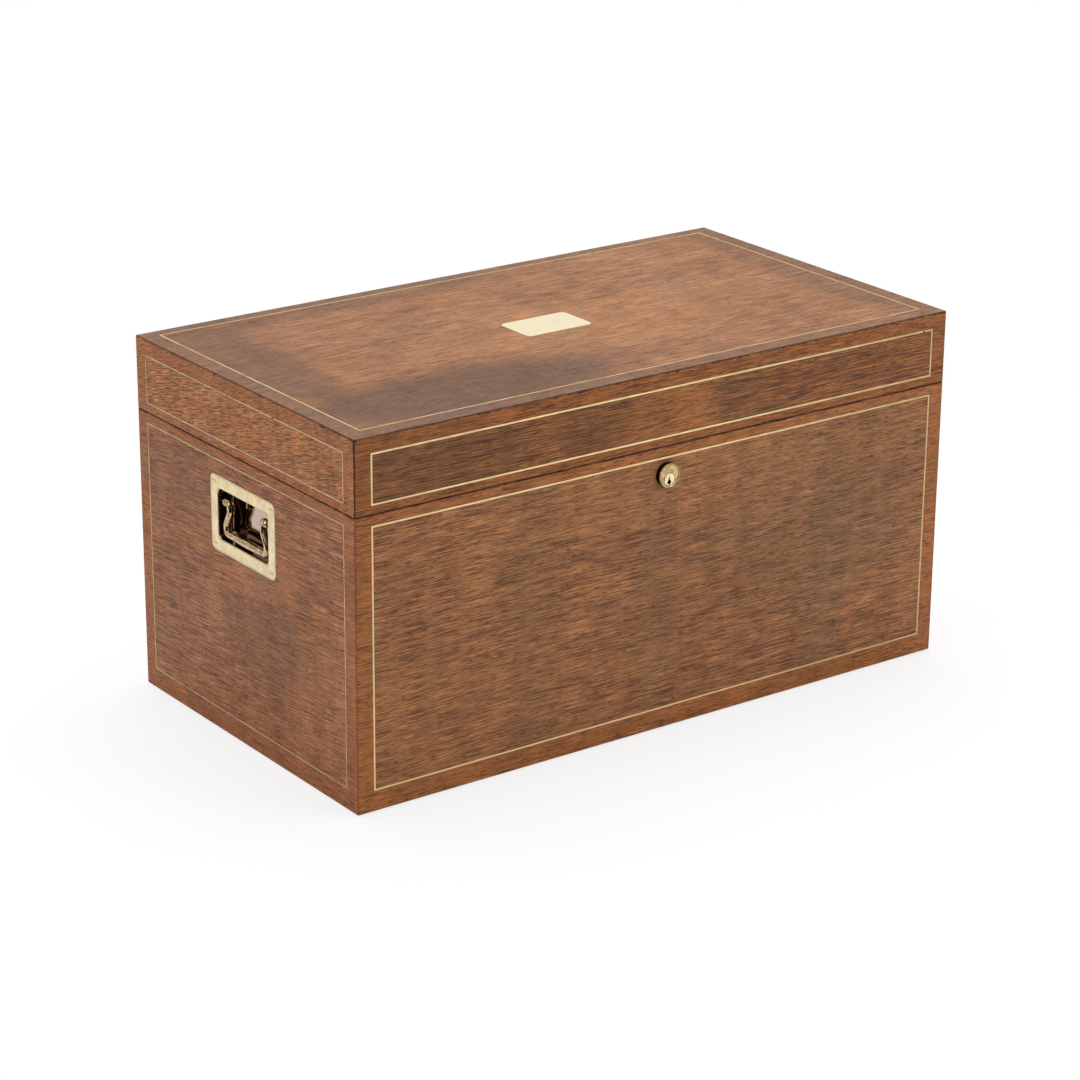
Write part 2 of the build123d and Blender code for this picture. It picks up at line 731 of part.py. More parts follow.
# Lock case: a tray open to the back, with the selvedge on top and two studs that guide the bolt
cap_front_y = board_back_y - lock_wall
stud_z = plug_z + stud_over_plug
staple_half = bolt_thick / 2 + staple_play + staple_wall
case_mid_y = (lock_front_y + cap_front_y) / 2
cavity_mid_y = (lock_inner_y + cap_front_y) / 2
with BuildPart() as lock_case:
    with BuildSketch(Plane.XY.offset(lock_low)):
        with Locations((0, case_mid_y)):
            Rectangle(2 * lock_half, cap_front_y - lock_front_y)
    extrude(amount=selvedge_low - lock_low)
    with BuildSketch(Plane.XY.offset(lock_low + lock_wall)):
        with Locations((0, cavity_mid_y)):
            Rectangle(2 * (lock_half - lock_wall), cap_front_y - lock_inner_y)
    extrude(amount=selvedge_low - lock_low - lock_wall, mode=Mode.SUBTRACT)
    with BuildSketch(Plane.XY.offset(selvedge_low)):
        with Locations((0, lock_y)):
            Rectangle(2 * selvedge_half, lock_deep)
        with Locations((-staple_x, lock_y), (staple_x, lock_y)):
            Rectangle(staple_thick + 2 * slot_play, 2 * (staple_half + slot_play), mode=Mode.SUBTRACT)
    extrude(amount=selvedge_thick)
    with BuildSketch(Plane(origin=(0, lock_inner_y, 0), x_dir=(1, 0, 0), z_dir=(0, -1, 0))):
        with Locations((0, head_z)):
            Circle(barrel_r)
    extrude(amount=lock_wall, mode=Mode.SUBTRACT)
    with BuildSketch(Plane(origin=(0, cap_front_y, 0), x_dir=(1, 0, 0), z_dir=(0, -1, 0))):
        with Locations((-stud_x, stud_z), (stud_x, stud_z)):
            Circle(stud_r)
    extrude(amount=cap_front_y - lock_inner_y)
    add(lock_screw_bores, mode=Mode.SUBTRACT)
keep(lock_case, "lock_case")

with BuildPart() as lock_cap:
    with BuildSketch(Plane.XY.offset(lock_low)):
        with Locations((0, board_back_y - lock_wall / 2)):
            Rectangle(2 * lock_half, lock_wall)
    extrude(amount=selvedge_low - lock_low)
keep(lock_cap, "lock_cap")

# Bolt: slides sideways on the studs, driven by the cam's peg, and hooks into both staples
bolt_low = plug_z + bolt_low_from_plug
bolt_top = bolt_low + bolt_tall
peg_circle_r = bolt_slide / sqrt(2)
notch_top = plug_z + peg_circle_r + peg_r + peg_head
staple_tip = lid_z - staple_drop
tooth_low = staple_tip + staple_foot + tooth_play
tooth_top = selvedge_low - tooth_play
stud_slot = 2 * (stud_r + stud_play)
with BuildPart() as lock_bolt:
    with BuildSketch(Plane(origin=(0, bolt_back_y, 0), x_dir=(1, 0, 0), z_dir=(0, -1, 0))):
        with Locations(((bolt_left + bolt_right) / 2, (bolt_low + bolt_top) / 2)):
            Rectangle(bolt_right - bolt_left, bolt_tall)
        for staple in (-staple_x, staple_x):
            tip = staple - staple_thick / 2 - tooth_gap
            stem = tip - tooth_length
            with Locations((stem - stem_width / 2, (bolt_top + tooth_top) / 2)):
                Rectangle(stem_width, tooth_top - bolt_top)
            with Locations(((stem + tip) / 2, (tooth_low + tooth_top) / 2)):
                Rectangle(tooth_length, tooth_top - tooth_low)
        with Locations((-bolt_slide / 2, (bolt_low + notch_top) / 2)):
            Rectangle(2 * (peg_r + peg_play), notch_top - bolt_low, mode=Mode.SUBTRACT)
        for stud in (-stud_x, stud_x):
            with Locations((stud - bolt_slide / 2, stud_z)):
                SlotOverall(bolt_slide + stud_slot, stud_slot, mode=Mode.SUBTRACT)
    extrude(amount=bolt_thick)
keep(lock_bolt, "lock_bolt")

# Link plate in the lid, with two staples that drop through the selvedge
with BuildPart() as link_plate:
    with BuildSketch(Plane.XY.offset(lid_metal_z)):
        with Locations((0, lock_y)):
            Rectangle(2 * link_half, lock_deep)
    extrude(amount=link_thick)
    for staple in (-staple_x, staple_x):
        with BuildSketch(Plane.YZ.offset(staple - staple_thick / 2)):
            with Locations((lock_y, (staple_tip + lid_metal_z) / 2)):
                Rectangle(2 * staple_half, lid_metal_z - staple_tip)
        extrude(amount=staple_thick)
    foot_edges = link_plate.edges().filter_by(Axis.X).group_by(Axis.Z)[0]
    fillet(foot_edges, staple_round)
    with BuildSketch(Plane.YZ):
        with Locations((lock_y, (staple_tip + staple_foot + lid_metal_z) / 2)):
            Rectangle(2 * (staple_half - staple_wall), lid_metal_z - staple_tip - staple_foot)
    extrude(amount=link_half, both=True, mode=Mode.SUBTRACT)
    add(link_screw_bores, mode=Mode.SUBTRACT)
keep(link_plate, "link_plate")

with BuildPart() as lock_screws:
    add(screw_group(rim_plane, lock_screw_spots, lock_screw_length))
keep(lock_screws, "lock_screws")

with BuildPart() as link_plate_screws:
    add(screw_group(link_plane, link_screw_spots, link_screw_length))
keep(link_plate_screws, "link_plate_screws")


def nose_profile(x, inner_r, turn):
    """Slice of a ring behind the hinge axis; turn is 1 for the lid's nose and -1 for the case's."""
    first = radians(lid_swing / 2 + nose_ease_angle)
    last = radians(nose_end_angle)
    middle = (first + last) / 2

    def spot(radius, angle):
        return (hinge_y + radius * cos(angle), hinge_z + turn * radius * sin(angle))

    with BuildSketch(Plane.YZ.offset(x)) as profile:
        with BuildLine():
            ThreePointArc(spot(nose_r, first), spot(nose_r, middle), spot(nose_r, last))
            Polyline(spot(nose_r, last), spot(inner_r, last), spot(inner_r, first), spot(nose_r, first))
        make_face()
    return profile.sketch


def stop_leaf(middle_x, turn):
    """One leaf of a stop hinge: turn is 1 for the lid's leaf and -1 for the case's."""
    start = middle_x - hinge_length / 2
    low = lid_leaf_low if turn > 0 else case_leaf_top - hinge_thick
    pitch = hinge_length / knuckle_count
    first_knuckle = 1 if turn > 0 else 0
    bar = nose_profile(start, knuckle_r + nose_play, turn)
    with BuildPart() as leaf:
        with BuildSketch(Plane.XY.offset(low)):
            with Locations((middle_x, leaf_mid_y)):
                Rectangle(hinge_length, hinge_leaf)
        extrude(amount=hinge_thick)
        extrude(bar, amount=hinge_length)
        for count in range(first_knuckle, knuckle_count, 2):
            from_x = start + count * pitch + (knuckle_gap / 2 if count > 0 else 0)
            to_x = start + (count + 1) * pitch - (knuckle_gap / 2 if count < knuckle_count - 1 else 0)
            with BuildSketch(Plane.YZ.offset(from_x)):
                with Locations((hinge_y, hinge_z)):
                    Circle(knuckle_r)
                with Locations((hinge_y - hinge_stand / 2, low + hinge_thick / 2)):
                    Rectangle(hinge_stand, hinge_thick)
            extrude(amount=to_x - from_x)
            extrude(nose_profile(from_x, knuckle_r / 2, turn), amount=to_x - from_x)
        with BuildSketch(Plane.YZ.offset(start)):
            with Locations((hinge_y, hinge_z)):
                Circle(hinge_pin_r + hinge_pin_play)
        extrude(amount=hinge_length, mode=Mode.SUBTRACT)
        add(lid_leaf_bores if turn > 0 else case_leaf_bores, mode=Mode.SUBTRACT)
    return leaf.part


for side, middle_x in hinge_x.items():
    lower_leaf = stop_leaf(middle_x, -1)
    upper_leaf = stop_leaf(middle_x, 1)
    with BuildPart() as case_leaf:
        add(lower_leaf)
    keep(case_leaf, f"hinge_{side}_case_leaf")
    with BuildPart() as lid_leaf:
        add(upper_leaf)
    keep(lid_leaf, f"hinge_{side}_lid_leaf")

with BuildPart() as hinge_pins:
    for middle_x in hinge_x.values():
        with BuildSketch(Plane.YZ.offset(middle_x - hinge_length / 2)):
            with Locations((hinge_y, hinge_z)):
                Circle(hinge_pin_r)
        extrude(amount=hinge_length)
keep(hinge_pins, "hinge_pins")

with BuildPart() as hinge_case_screws:
    add(screw_group(case_leaf_plane, case_leaf_spots, hinge_screw_length))
keep(hinge_case_screws, "hinge_case_screws")

with BuildPart() as hinge_lid_screws:
    add(screw_group(lid_leaf_plane, lid_leaf_spots, hinge_screw_length))
keep(hinge_lid_screws, "hinge_lid_screws")

# Lift-out tray: long sides, ends with finger notches, a slotted base and dividers
tray_width = clear_width - 2 * tray_gap
tray_depth = clear_depth - 2 * tray_gap
tray_span = tray_width - 2 * tray_side
tray_reach = tray_depth - 2 * tray_side
tray_plane = Plane.XY.offset(tray_z)

with BuildPart() as tray_sides:
    with BuildSketch(tray_plane):
        with Locations((0, (tray_side - tray_depth) / 2), (0, (tray_depth - tray_side) / 2)):
            Rectangle(tray_width, tray_side)
    extrude(amount=tray_tall)
keep(tray_sides, "tray_sides")

with BuildPart() as tray_ends:
    with BuildSketch(tray_plane):
        with Locations(((tray_side - tray_width) / 2, 0), ((tray_width - tray_side) / 2, 0)):
            Rectangle(tray_side, tray_reach)
    extrude(amount=tray_tall)
    with BuildSketch(Plane.YZ):
        with Locations((0, tray_z + tray_tall)):
            Circle(finger_r)
    extrude(amount=tray_width / 2, both=True, mode=Mode.SUBTRACT)
keep(tray_ends, "tray_ends")

vent_pitch = (tray_span - vent_wide - 2 * vent_side_margin) / (vent_columns - 1)
vent_row_pitch = (tray_reach + vent_bridge - 2 * vent_end_margin) / vent_rows
vent_long = vent_row_pitch - vent_bridge
with BuildPart() as tray_base:
    with BuildSketch(tray_plane):
        Rectangle(tray_span, tray_reach)
        with GridLocations(vent_pitch, vent_row_pitch, vent_columns, vent_rows):
            SlotOverall(vent_long, vent_wide, rotation=90, mode=Mode.SUBTRACT)
    extrude(amount=tray_floor)
keep(tray_base, "tray_base")

divider_pitch = tray_span / (divider_count + 1)
with BuildPart() as tray_dividers:
    with BuildSketch(tray_plane.offset(tray_floor)):
        with GridLocations(divider_pitch, tray_reach, divider_count, 1):
            Rectangle(divider_thick, tray_reach)
    extrude(amount=tray_tall - tray_floor - divider_low)
keep(tray_dividers, "tray_dividers")

# Humidifier: a shallow case screwed under the lid, a pad in it and a slotted cover below
mist_low = mist_top_z - mist_tall
with BuildPart() as humidifier_case:
    with BuildSketch(Plane.XY.offset(mist_low)):
        RectangleRounded(mist_width, mist_depth, mist_corner)
    extrude(amount=mist_tall)
    with BuildSketch(Plane.XY.offset(mist_low)):
        RectangleRounded(mist_width - 2 * mist_wall, mist_depth - 2 * mist_wall, mist_corner - mist_wall)
    extrude(amount=mist_tall - mist_wall, mode=Mode.SUBTRACT)
    add(mist_screw_bores, mode=Mode.SUBTRACT)
keep(humidifier_case, "humidifier_case")

mist_slot_pitch = (mist_width - mist_slot_wide - 2 * mist_slot_side_margin) / (mist_slots - 1)
mist_slot_long = mist_depth - 2 * mist_slot_end_margin
with BuildPart() as humidifier_cover:
    with BuildSketch(Plane.XY.offset(mist_low - mist_cover)):
        RectangleRounded(mist_width, mist_depth, mist_corner)
        with GridLocations(mist_slot_pitch, mist_slot_long, mist_slots, 1):
            SlotOverall(mist_slot_long, mist_slot_wide, rotation=90, mode=Mode.SUBTRACT)
    extrude(amount=mist_cover)
keep(humidifier_cover, "humidifier_cover")

pad_width = mist_width - 2 * mist_wall - 2 * pad_gap
pad_depth = mist_depth - 2 * mist_wall - 2 * pad_gap
pad_tall = mist_tall - mist_wall - 2 * pad_gap
with BuildPart() as humidifier_pad:
    with BuildSketch(Plane.XY.offset(mist_low + pad_gap)):
        RectangleRounded(pad_width, pad_depth, mist_corner - mist_wall)
    extrude(amount=pad_tall)
    fillet(humidifier_pad.faces().sort_by(Axis.Z)[-1].edges(), pad_round)
keep(humidifier_pad, "humidifier_pad")

with BuildPart() as humidifier_screws:
    add(screw_group(mist_plane, mist_screw_spots, mist_screw_length))
keep(humidifier_screws, "humidifier_screws")
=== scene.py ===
"""Humidor: the finish of every piece, the two soft pieces, and the studio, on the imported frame."""

import math

import bmesh
import bpy
from mathutils import Matrix, Vector, noise


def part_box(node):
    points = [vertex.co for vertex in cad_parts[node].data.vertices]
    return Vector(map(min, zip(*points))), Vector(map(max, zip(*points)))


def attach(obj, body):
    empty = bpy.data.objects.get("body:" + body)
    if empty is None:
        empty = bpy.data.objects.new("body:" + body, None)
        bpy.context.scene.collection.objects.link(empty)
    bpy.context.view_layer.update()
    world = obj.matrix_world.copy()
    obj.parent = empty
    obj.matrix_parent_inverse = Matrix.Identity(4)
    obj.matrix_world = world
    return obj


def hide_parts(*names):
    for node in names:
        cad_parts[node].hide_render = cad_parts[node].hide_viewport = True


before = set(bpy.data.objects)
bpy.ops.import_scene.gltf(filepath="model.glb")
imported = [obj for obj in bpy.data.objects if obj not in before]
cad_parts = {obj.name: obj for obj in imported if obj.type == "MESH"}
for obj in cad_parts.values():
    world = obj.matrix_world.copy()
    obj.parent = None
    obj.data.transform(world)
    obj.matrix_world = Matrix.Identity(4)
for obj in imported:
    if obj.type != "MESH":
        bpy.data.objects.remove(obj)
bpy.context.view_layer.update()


# Case walls: four mitred boards, faced outside with a brown fumed veneer and polished with shellac. The
# grain runs along each face. Outside the string lines the veneer is redder, and old dirt sits along the
# edges, in the joint under the lid and round whatever is let in.
def linear(colour):
    """Linear colour from an sRGB hex string such as 8a5f42."""
    parts = [int(colour[at:at + 2], 16) / 255 for at in (0, 2, 4)]
    return tuple(p / 12.92 if p <= 0.04045 else ((p + 0.055) / 1.055) ** 2.4 for p in parts) + (1.0,)


def add(tree, kind, *values, named=None, stops=None, **settings):
    """Adds a node with its settings and links. Values fill the sockets in use, in their order, and a node
    among them stands for its first output in use."""
    node = tree.nodes.new("ShaderNode" + kind)
    for key, value in settings.items():
        setattr(node, key, value)
    pairs = list(zip((socket for socket in node.inputs if socket.enabled), values))
    pairs += [(node.inputs[key], value) for key, value in (named or {}).items()]
    for socket, value in pairs:
        if isinstance(value, bpy.types.Node):
            value = next(out for out in value.outputs if out.enabled)
        if isinstance(value, bpy.types.NodeSocket):
            tree.links.new(value, socket)
        else:
            socket.default_value = value
    if stops:
        while len(node.color_ramp.elements) < len(stops):
            node.color_ramp.elements.new(0.5)
        for element, (place, colour) in zip(node.color_ramp.elements, stops):
            element.position = place
            element.color = linear(colour)
    return node


smooth = {"interpolation_type": "SMOOTHSTEP"}


def new_material(name):
    """An empty material, its nodes, and the place on the object in millimetres."""
    made = bpy.data.materials.new(name)
    made.use_nodes = True
    tree = made.node_tree
    tree.nodes.clear()
    place = add(tree, "TexCoord").outputs["Object"]
    return made, tree, add(tree, "VectorMath", place, (1000, 1000, 1000), operation="MULTIPLY")


def finish(names, made):
    """Gives the named CAD pieces a material."""
    for name in names:
        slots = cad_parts[name].data.materials
        slots.clear()
        slots.append(made)


# The grain itself, from a place in millimetres with x along it. Fibres are 29 mm long, streaks 62, short
# pores 7 and long ones 25, all 0.4 mm wide: real ones are finer, and these are as fine as the photograph
# shows. Across the grain, layers are 10 mm wide, mottling 14, the clouds and the sway 50, figure 100.
grain = bpy.data.node_groups.new("wood_grain", "ShaderNodeTree")
grain.interface.new_socket("Place", in_out="INPUT", socket_type="NodeSocketVector")
place = grain.nodes.new("NodeGroupInput").outputs["Place"]


def marks(start, along, across, through, detail=2.0, rough=0.5, warp=0.0):
    """Marks in the wood, so many a millimetre along, across and through the grain."""
    spread = add(grain, "VectorMath", start, (along, across, through), operation="MULTIPLY")
    return add(grain, "TexNoise", spread, 1.0, detail, rough, named={"Distortion": warp})


sway = add(grain, "Math", marks(place, 0.008, 0.02, 0.02), 2.0, -1.0, operation="MULTIPLY_ADD")
swayed = add(grain, "VectorMath", place, add(grain, "CombineXYZ", 0.0, sway, 0.0), operation="ADD")
fibre = marks(swayed, 0.035, 2.5, 2.5, detail=1.0)
streak = marks(swayed, 0.016, 2.3, 2.3, detail=1.0)
layer = marks(swayed, 0.008, 0.1, 0.1)
figure = marks(place, 0.045, 0.01, 0.02, rough=0.55, warp=0.4)
cloud = marks(place, 0.012, 0.02, 0.02, detail=4.0, rough=0.62, warp=0.5)
mottle = marks(place, 0.035, 0.07, 0.07, detail=3.0, rough=0.6, warp=0.6)
tone = add(grain, "Math", fibre, 0.52, add(grain, "Math", streak, 0.4, operation="MULTIPLY"),
           operation="MULTIPLY_ADD")
tone = add(grain, "Math", layer, 0.08, tone, operation="MULTIPLY_ADD")
tone = add(grain, "MapRange", tone, 0.41, 0.59, **smooth)
short_pores = add(grain, "MapRange", marks(swayed, 0.15, 2.3, 2.3, detail=0.0), 0.58, 0.65, **smooth)
long_pores = add(grain, "MapRange", marks(swayed, 0.04, 2.3, 2.3, detail=0.0), 0.6, 0.66, **smooth)
crowd = add(grain, "MapRange", mottle, 0.36, 0.62, 0.75, 1.0, **smooth)
pores = add(grain, "Math", add(grain, "Math", short_pores, long_pores, operation="MAXIMUM"), crowd,
            operation="MULTIPLY")
made_marks = {"Tone": tone, "Pores": pores, "Figure": figure, "Cloud": cloud, "Mottle": mottle,
              "Fibre": fibre}
for mark_name in made_marks:
    grain.interface.new_socket(mark_name, in_out="OUTPUT", socket_type="NodeSocketFloat")
grain_ends = grain.nodes.new("NodeGroupOutput")
for mark_name, node in made_marks.items():
    grain.links.new(node.outputs[0], grain_ends.inputs[mark_name])


def wood_at(tree, parts, order, seed, slant=0.0, short=1.0, shift=None):
    """The grain's marks on a board cut from its own log, which the seed picks. order: the object's axes
    along, across and through the grain; slant turns the grain on the face; above 1, short cuts its
    dashes; shift moves to another place in the log."""
    turned = add(tree, "CombineXYZ", *[parts[axis] for axis in order])
    if slant:
        turned = add(tree, "VectorRotate", turned, named={"Angle": math.radians(slant)},
                     rotation_type="Z_AXIS")
    turned = add(tree, "VectorMath", turned, (short, 1.0, 1.0), operation="MULTIPLY")
    moved = add(tree, "VectorMath", turned, (seed * 613.0, seed * 271.0, seed * 97.0), operation="ADD")
    if shift:
        moved = add(tree, "VectorMath", moved, shift, operation="ADD")
    return add(tree, "Group", moved, node_tree=grain).outputs


def patch_at(tree, flat, middle, reach, ragged):
    """A soft patch on a face: 1 in its middle, 0 outside, with a ragged edge."""
    off = add(tree, "VectorMath", flat, (*middle, 0.0), operation="SUBTRACT")
    off = add(tree, "VectorMath", off, (1 / reach[0], 1 / reach[1], 0.0), operation="MULTIPLY")
    far = add(tree, "Math", add(tree, "VectorMath", off, operation="LENGTH"), 0.55, operation="SUBTRACT")
    far = add(tree, "Math", ragged, 1.1, far, operation="MULTIPLY_ADD")
    return add(tree, "MapRange", far, 1.15, 0.55, **smooth)


def edge_gap(tree, flat, low_u, high_u, low_v, high_v):
    """How far a point of a face lies inside a rectangle; outside it is below zero."""
    half_u, half_v = (high_u - low_u) / 2, (high_v - low_v) / 2
    off = add(tree, "VectorMath", flat, (low_u + half_u, low_v + half_v, 0.0), operation="SUBTRACT")
    off = add(tree, "VectorMath", off, operation="ABSOLUTE")
    gap = add(tree, "SeparateXYZ", add(tree, "VectorMath", (half_u, half_v, 0.0), off, operation="SUBTRACT"))
    return add(tree, "Math", gap.outputs[0], gap.outputs[1], operation="MINIMUM")


def dirt_round(tree, flat, middle, half, corner):
    """Thin line of dirt round a rounded rectangle that is let into a face."""
    off = add(tree, "VectorMath", flat, (*middle, 0.0), operation="SUBTRACT")
    off = add(tree, "VectorMath", off, operation="ABSOLUTE")
    past = add(tree, "VectorMath", off, (half[0] - corner, half[1] - corner, 0.0), operation="SUBTRACT")
    past = add(tree, "VectorMath", past, (0.0, 0.0, 0.0), operation="MAXIMUM")
    far = add(tree, "VectorMath", past, operation="LENGTH")
    return add(tree, "MapRange", far, corner + 0.9, corner + 0.2, **smooth)


def veneer(name, order, face, panel, tones, seed, patches=(), inlays=(), slant=0.0, short=1.0, wear=0.6,
           pores=0.72):
    """Veneer of one face under an old shellac polish, which gives a soft sheen that is duller in the pores.
    order: axes along, across and through the grain; face: half size, level range and depth of the outer
    face; panel: the rectangle inside the string lines; tones: dark, middle, light, strip and patch colour;
    patches: middle, reach and share, below zero for a light one; inlays: middle, half size and corner of
    what is let in; wear: how dark the worn edges are; pores: how dark the pores are."""
    made, tree, millimetres = new_material(name)
    parts = add(tree, "SeparateXYZ", millimetres).outputs
    u, v, through = (parts[axis] for axis in order)
    flat = add(tree, "CombineXYZ", u, v, 0.0)
    inside = edge_gap(tree, flat, *panel)
    strip = add(tree, "MapRange", inside, 0.2, -0.2, **smooth)
    other_leaf = add(tree, "VectorMath", (170.0, 43.0, 0.0), strip, operation="SCALE")
    wood = wood_at(tree, parts, order, seed, slant, short, other_leaf)

    # Colour: fibres from dark to light, brown clouds and patches, redder strips and dark pores
    dark, middle, light, strip_tone, patch_tone = tones
    colour = add(tree, "ValToRGB", wood["Tone"], stops=[(0.0, dark), (0.45, middle), (1.0, light)])
    clouds = add(tree, "MapRange", wood["Cloud"], 0.42, 0.7, 0.0, 0.24, **smooth)
    spots = add(tree, "MapRange", wood["Mottle"], 0.46, 0.66, 0.0, 0.12, **smooth)
    brown = add(tree, "Math", clouds, spots, operation="MAXIMUM")
    colour = add(tree, "Mix", brown, colour, linear(patch_tone), data_type="RGBA")
    for middle_at, reach, share in patches:
        mark = patch_at(tree, flat, middle_at, reach, wood["Cloud"])
        mark = add(tree, "Math", mark, abs(share), operation="MULTIPLY")
        colour = add(tree, "Mix", mark, colour, linear(patch_tone if share > 0 else light), data_type="RGBA")
    redder = add(tree, "Math", strip, 0.62, operation="MULTIPLY")
    colour = add(tree, "Mix", redder, colour, linear(strip_tone), data_type="RGBA")
    shade = add(tree, "Math", add(tree, "MapRange", wood["Figure"], 0.36, 0.64, 0.92, 1.06, **smooth),
                add(tree, "MapRange", wood["Fibre"], 0.36, 0.64, 0.8, 1.2, **smooth), operation="MULTIPLY")
    colour = add(tree, "Mix", 1.0, colour, shade, data_type="RGBA", blend_type="MULTIPLY")
    open_pores = add(tree, "Math", wood["Pores"], pores, operation="MULTIPLY")
    colour = add(tree, "Mix", open_pores, colour, linear("382115"), data_type="RGBA")

    # Dirt: a ragged line under the top edge, along the other edges and the joint, beside the strings, and
    # round what is let in; it comes and goes every 11 mm, and the boards' inner sides have none
    broken = add(tree, "TexNoise", millimetres, 0.09, 4.0, 0.75)
    to_top = add(tree, "Math", face[1][1], v, operation="SUBTRACT")
    bitten = add(tree, "MapRange", broken, 0.42, 0.7, 0.0, 2.6, **smooth)
    ragged = add(tree, "Math", to_top, bitten, operation="SUBTRACT")
    ragged = add(tree, "MapRange", ragged, 0.8, -0.9, **smooth)
    line = add(tree, "Math", ragged, wear, operation="MULTIPLY")
    to_edge = edge_gap(tree, flat, -face[0], face[0], *face[1])
    arris = add(tree, "Math", add(tree, "MapRange", to_edge, 1.2, 0.6, **smooth),
                add(tree, "MapRange", broken, 0.3, 0.6, wear * 0.7, wear, **smooth), operation="MULTIPLY")
    line = add(tree, "Math", line, arris, operation="MAXIMUM")
    for middle_at, half, corner in inlays:
        ring = add(tree, "Math", dirt_round(tree, flat, middle_at, half, corner),
                   add(tree, "MapRange", broken, 0.35, 0.6, 0.25, 0.8, **smooth), operation="MULTIPLY")
        line = add(tree, "Math", line, ring, operation="MAXIMUM")
    to_joint = add(tree, "Math", add(tree, "Math", v, joint_up, operation="SUBTRACT"), operation="ABSOLUTE")
    joint = add(tree, "Math", add(tree, "MapRange", to_joint, 0.85, 0.4, **smooth),
                add(tree, "MapRange", broken, 0.35, 0.62, 0.4, 1.0, **smooth), operation="MULTIPLY")
    line = add(tree, "Math", line, joint, operation="MAXIMUM")
    off_string = add(tree, "Math", inside, operation="ABSOLUTE")
    beside = add(tree, "MapRange", off_string, 1.3, 0.85, 0.0, 0.22, **smooth)
    line = add(tree, "Math", line, beside, operation="MAXIMUM")
    depth = add(tree, "Math", face[2], add(tree, "Math", through, operation="ABSOLUTE"), operation="SUBTRACT")
    line = add(tree, "Math", line, add(tree, "MapRange", depth, 1.6, 0.9, **smooth), operation="MULTIPLY")
    colour = add(tree, "Mix", line, colour, linear("240f06"), data_type="RGBA")

    sheen = add(tree, "MapRange", wood["Cloud"], 0.3, 0.7, 0.44, 0.56, **smooth)
    height = add(tree, "Math", add(tree, "Math", wood["Fibre"], 0.35, operation="MULTIPLY"), wood["Pores"],
                 operation="SUBTRACT")
    add(tree, "OutputMaterial", add(tree, "BsdfPrincipled", named={
        "Base Color": colour, "Specular IOR Level": 0.3,
        "Roughness": add(tree, "Math", wood["Pores"], 0.22, sheen, operation="MULTIPLY_ADD"),
        "Normal": add(tree, "Bump", named={"Strength": 0.35, "Distance": 0.00012, "Height": height})}))
    return made


# Sizes in millimetres from the middle of the floor under the box: the box itself, the joint between case
# and lid, the string lines and the handle plate. The back has no strings, so its panel reaches beyond it.
box_half_x, box_half_y, box_up, joint_up = 275.0, 151.0, 285.0, 227.1
string_in, string_low, string_high = 14.5, 17.3, 218.4
string_half_x, string_half_y = box_half_x - string_in, box_half_y - string_in
front_panel = (-string_half_x, string_half_x, string_low, string_high)
end_panel = (-string_half_y, string_half_y, string_low, string_high)
no_panel = (-400, 400, -100, 400)
handle_up, plate_half_y, plate_half_z, plate_corner = 176.3, 45.0, 30.0, 6.0
handle_let_in = ((0.0, handle_up), (plate_half_y, plate_half_z), plate_corner)
case_front_face = (box_half_x, (0.0, joint_up), box_half_y)
case_end_face = (box_half_y, (0.0, joint_up), box_half_x)
front_tones = ("6d452d", "a0673d", "c0804c", "b0672c", "80603f")
end_tones = ("633e29", "945b36", "b67546", "9d5a2d", "785036")
finish(["case_front"], veneer(
    "veneer_case_front", (0, 2, 1), case_front_face, front_panel, front_tones, seed=1, wear=0.3,
    patches=[((150, 150), (130, 90), 0.4), ((-8, 110), (22, 190), 0.35), ((-126, 110), (26, 170), 0.3),
             ((160, 110), (20, 170), 0.35), ((-190, 60), (100, 60), -0.2),
             ((60, 196), (230, 40), -0.3)]))
finish(["case_back"], veneer(
    "veneer_case_back", (0, 2, 1), case_front_face, no_panel, front_tones, seed=2, wear=0.3,
    patches=[((-90, 120), (120, 80), 0.4)]))
finish(["case_left_side"], veneer(
    "veneer_case_left", (1, 2, 0), case_end_face, end_panel, end_tones, seed=3, inlays=[handle_let_in],
    slant=4.0, short=1.2, wear=0.3, pores=0.6,
    patches=[((-30, 95), (60, 55), 0.5), ((90, 190), (60, 30), 0.4), ((-100, 60), (50, 60), -0.25),
             ((-62, 165), (17, 42), -0.3), ((-10, 133), (52, 13), -0.3)]))
finish(["case_right_side"], veneer(
    "veneer_case_right", (1, 2, 0), case_end_face, end_panel, end_tones, seed=4, inlays=[handle_let_in],
    slant=-4.0, short=1.2, wear=0.3, pores=0.6,
    patches=[((40, 110), (70, 60), 0.5)]))


# Bottom board: one pale board, planed and left bare, glued into the rebate of the walls. The cedar covers
# it above and the baize below.
def bare_wood(name, order, tones, seed, rough, pore_share):
    """Planed wood without polish: open pores and hardly any shine. tones: dark, middle, light and pores."""
    made, tree, millimetres = new_material(name)
    wood = wood_at(tree, add(tree, "SeparateXYZ", millimetres).outputs, order, seed)
    dark, middle, light, pore = tones
    colour = add(tree, "ValToRGB", wood["Tone"], stops=[(0.0, dark), (0.5, middle), (1.0, light)])
    clouds = add(tree, "MapRange", wood["Cloud"], 0.4, 0.7, 0.0, 0.35, **smooth)
    colour = add(tree, "Mix", clouds, colour, linear(light), data_type="RGBA")
    open_pores = add(tree, "Math", wood["Pores"], pore_share, operation="MULTIPLY")
    colour = add(tree, "Mix", open_pores, colour, linear(pore), data_type="RGBA")
    height = add(tree, "Math", add(tree, "Math", wood["Fibre"], 0.4, operation="MULTIPLY"), wood["Pores"],
                 operation="SUBTRACT")
    add(tree, "OutputMaterial", add(tree, "BsdfPrincipled", named={
        "Base Color": colour, "Specular IOR Level": 0.25,
        "Roughness": add(tree, "MapRange", wood["Fibre"], 0.3, 0.7, rough, rough + 0.12, **smooth),
        "Normal": add(tree, "Bump", named={"Strength": 0.4, "Distance": 0.00015, "Height": height})}))
    return made


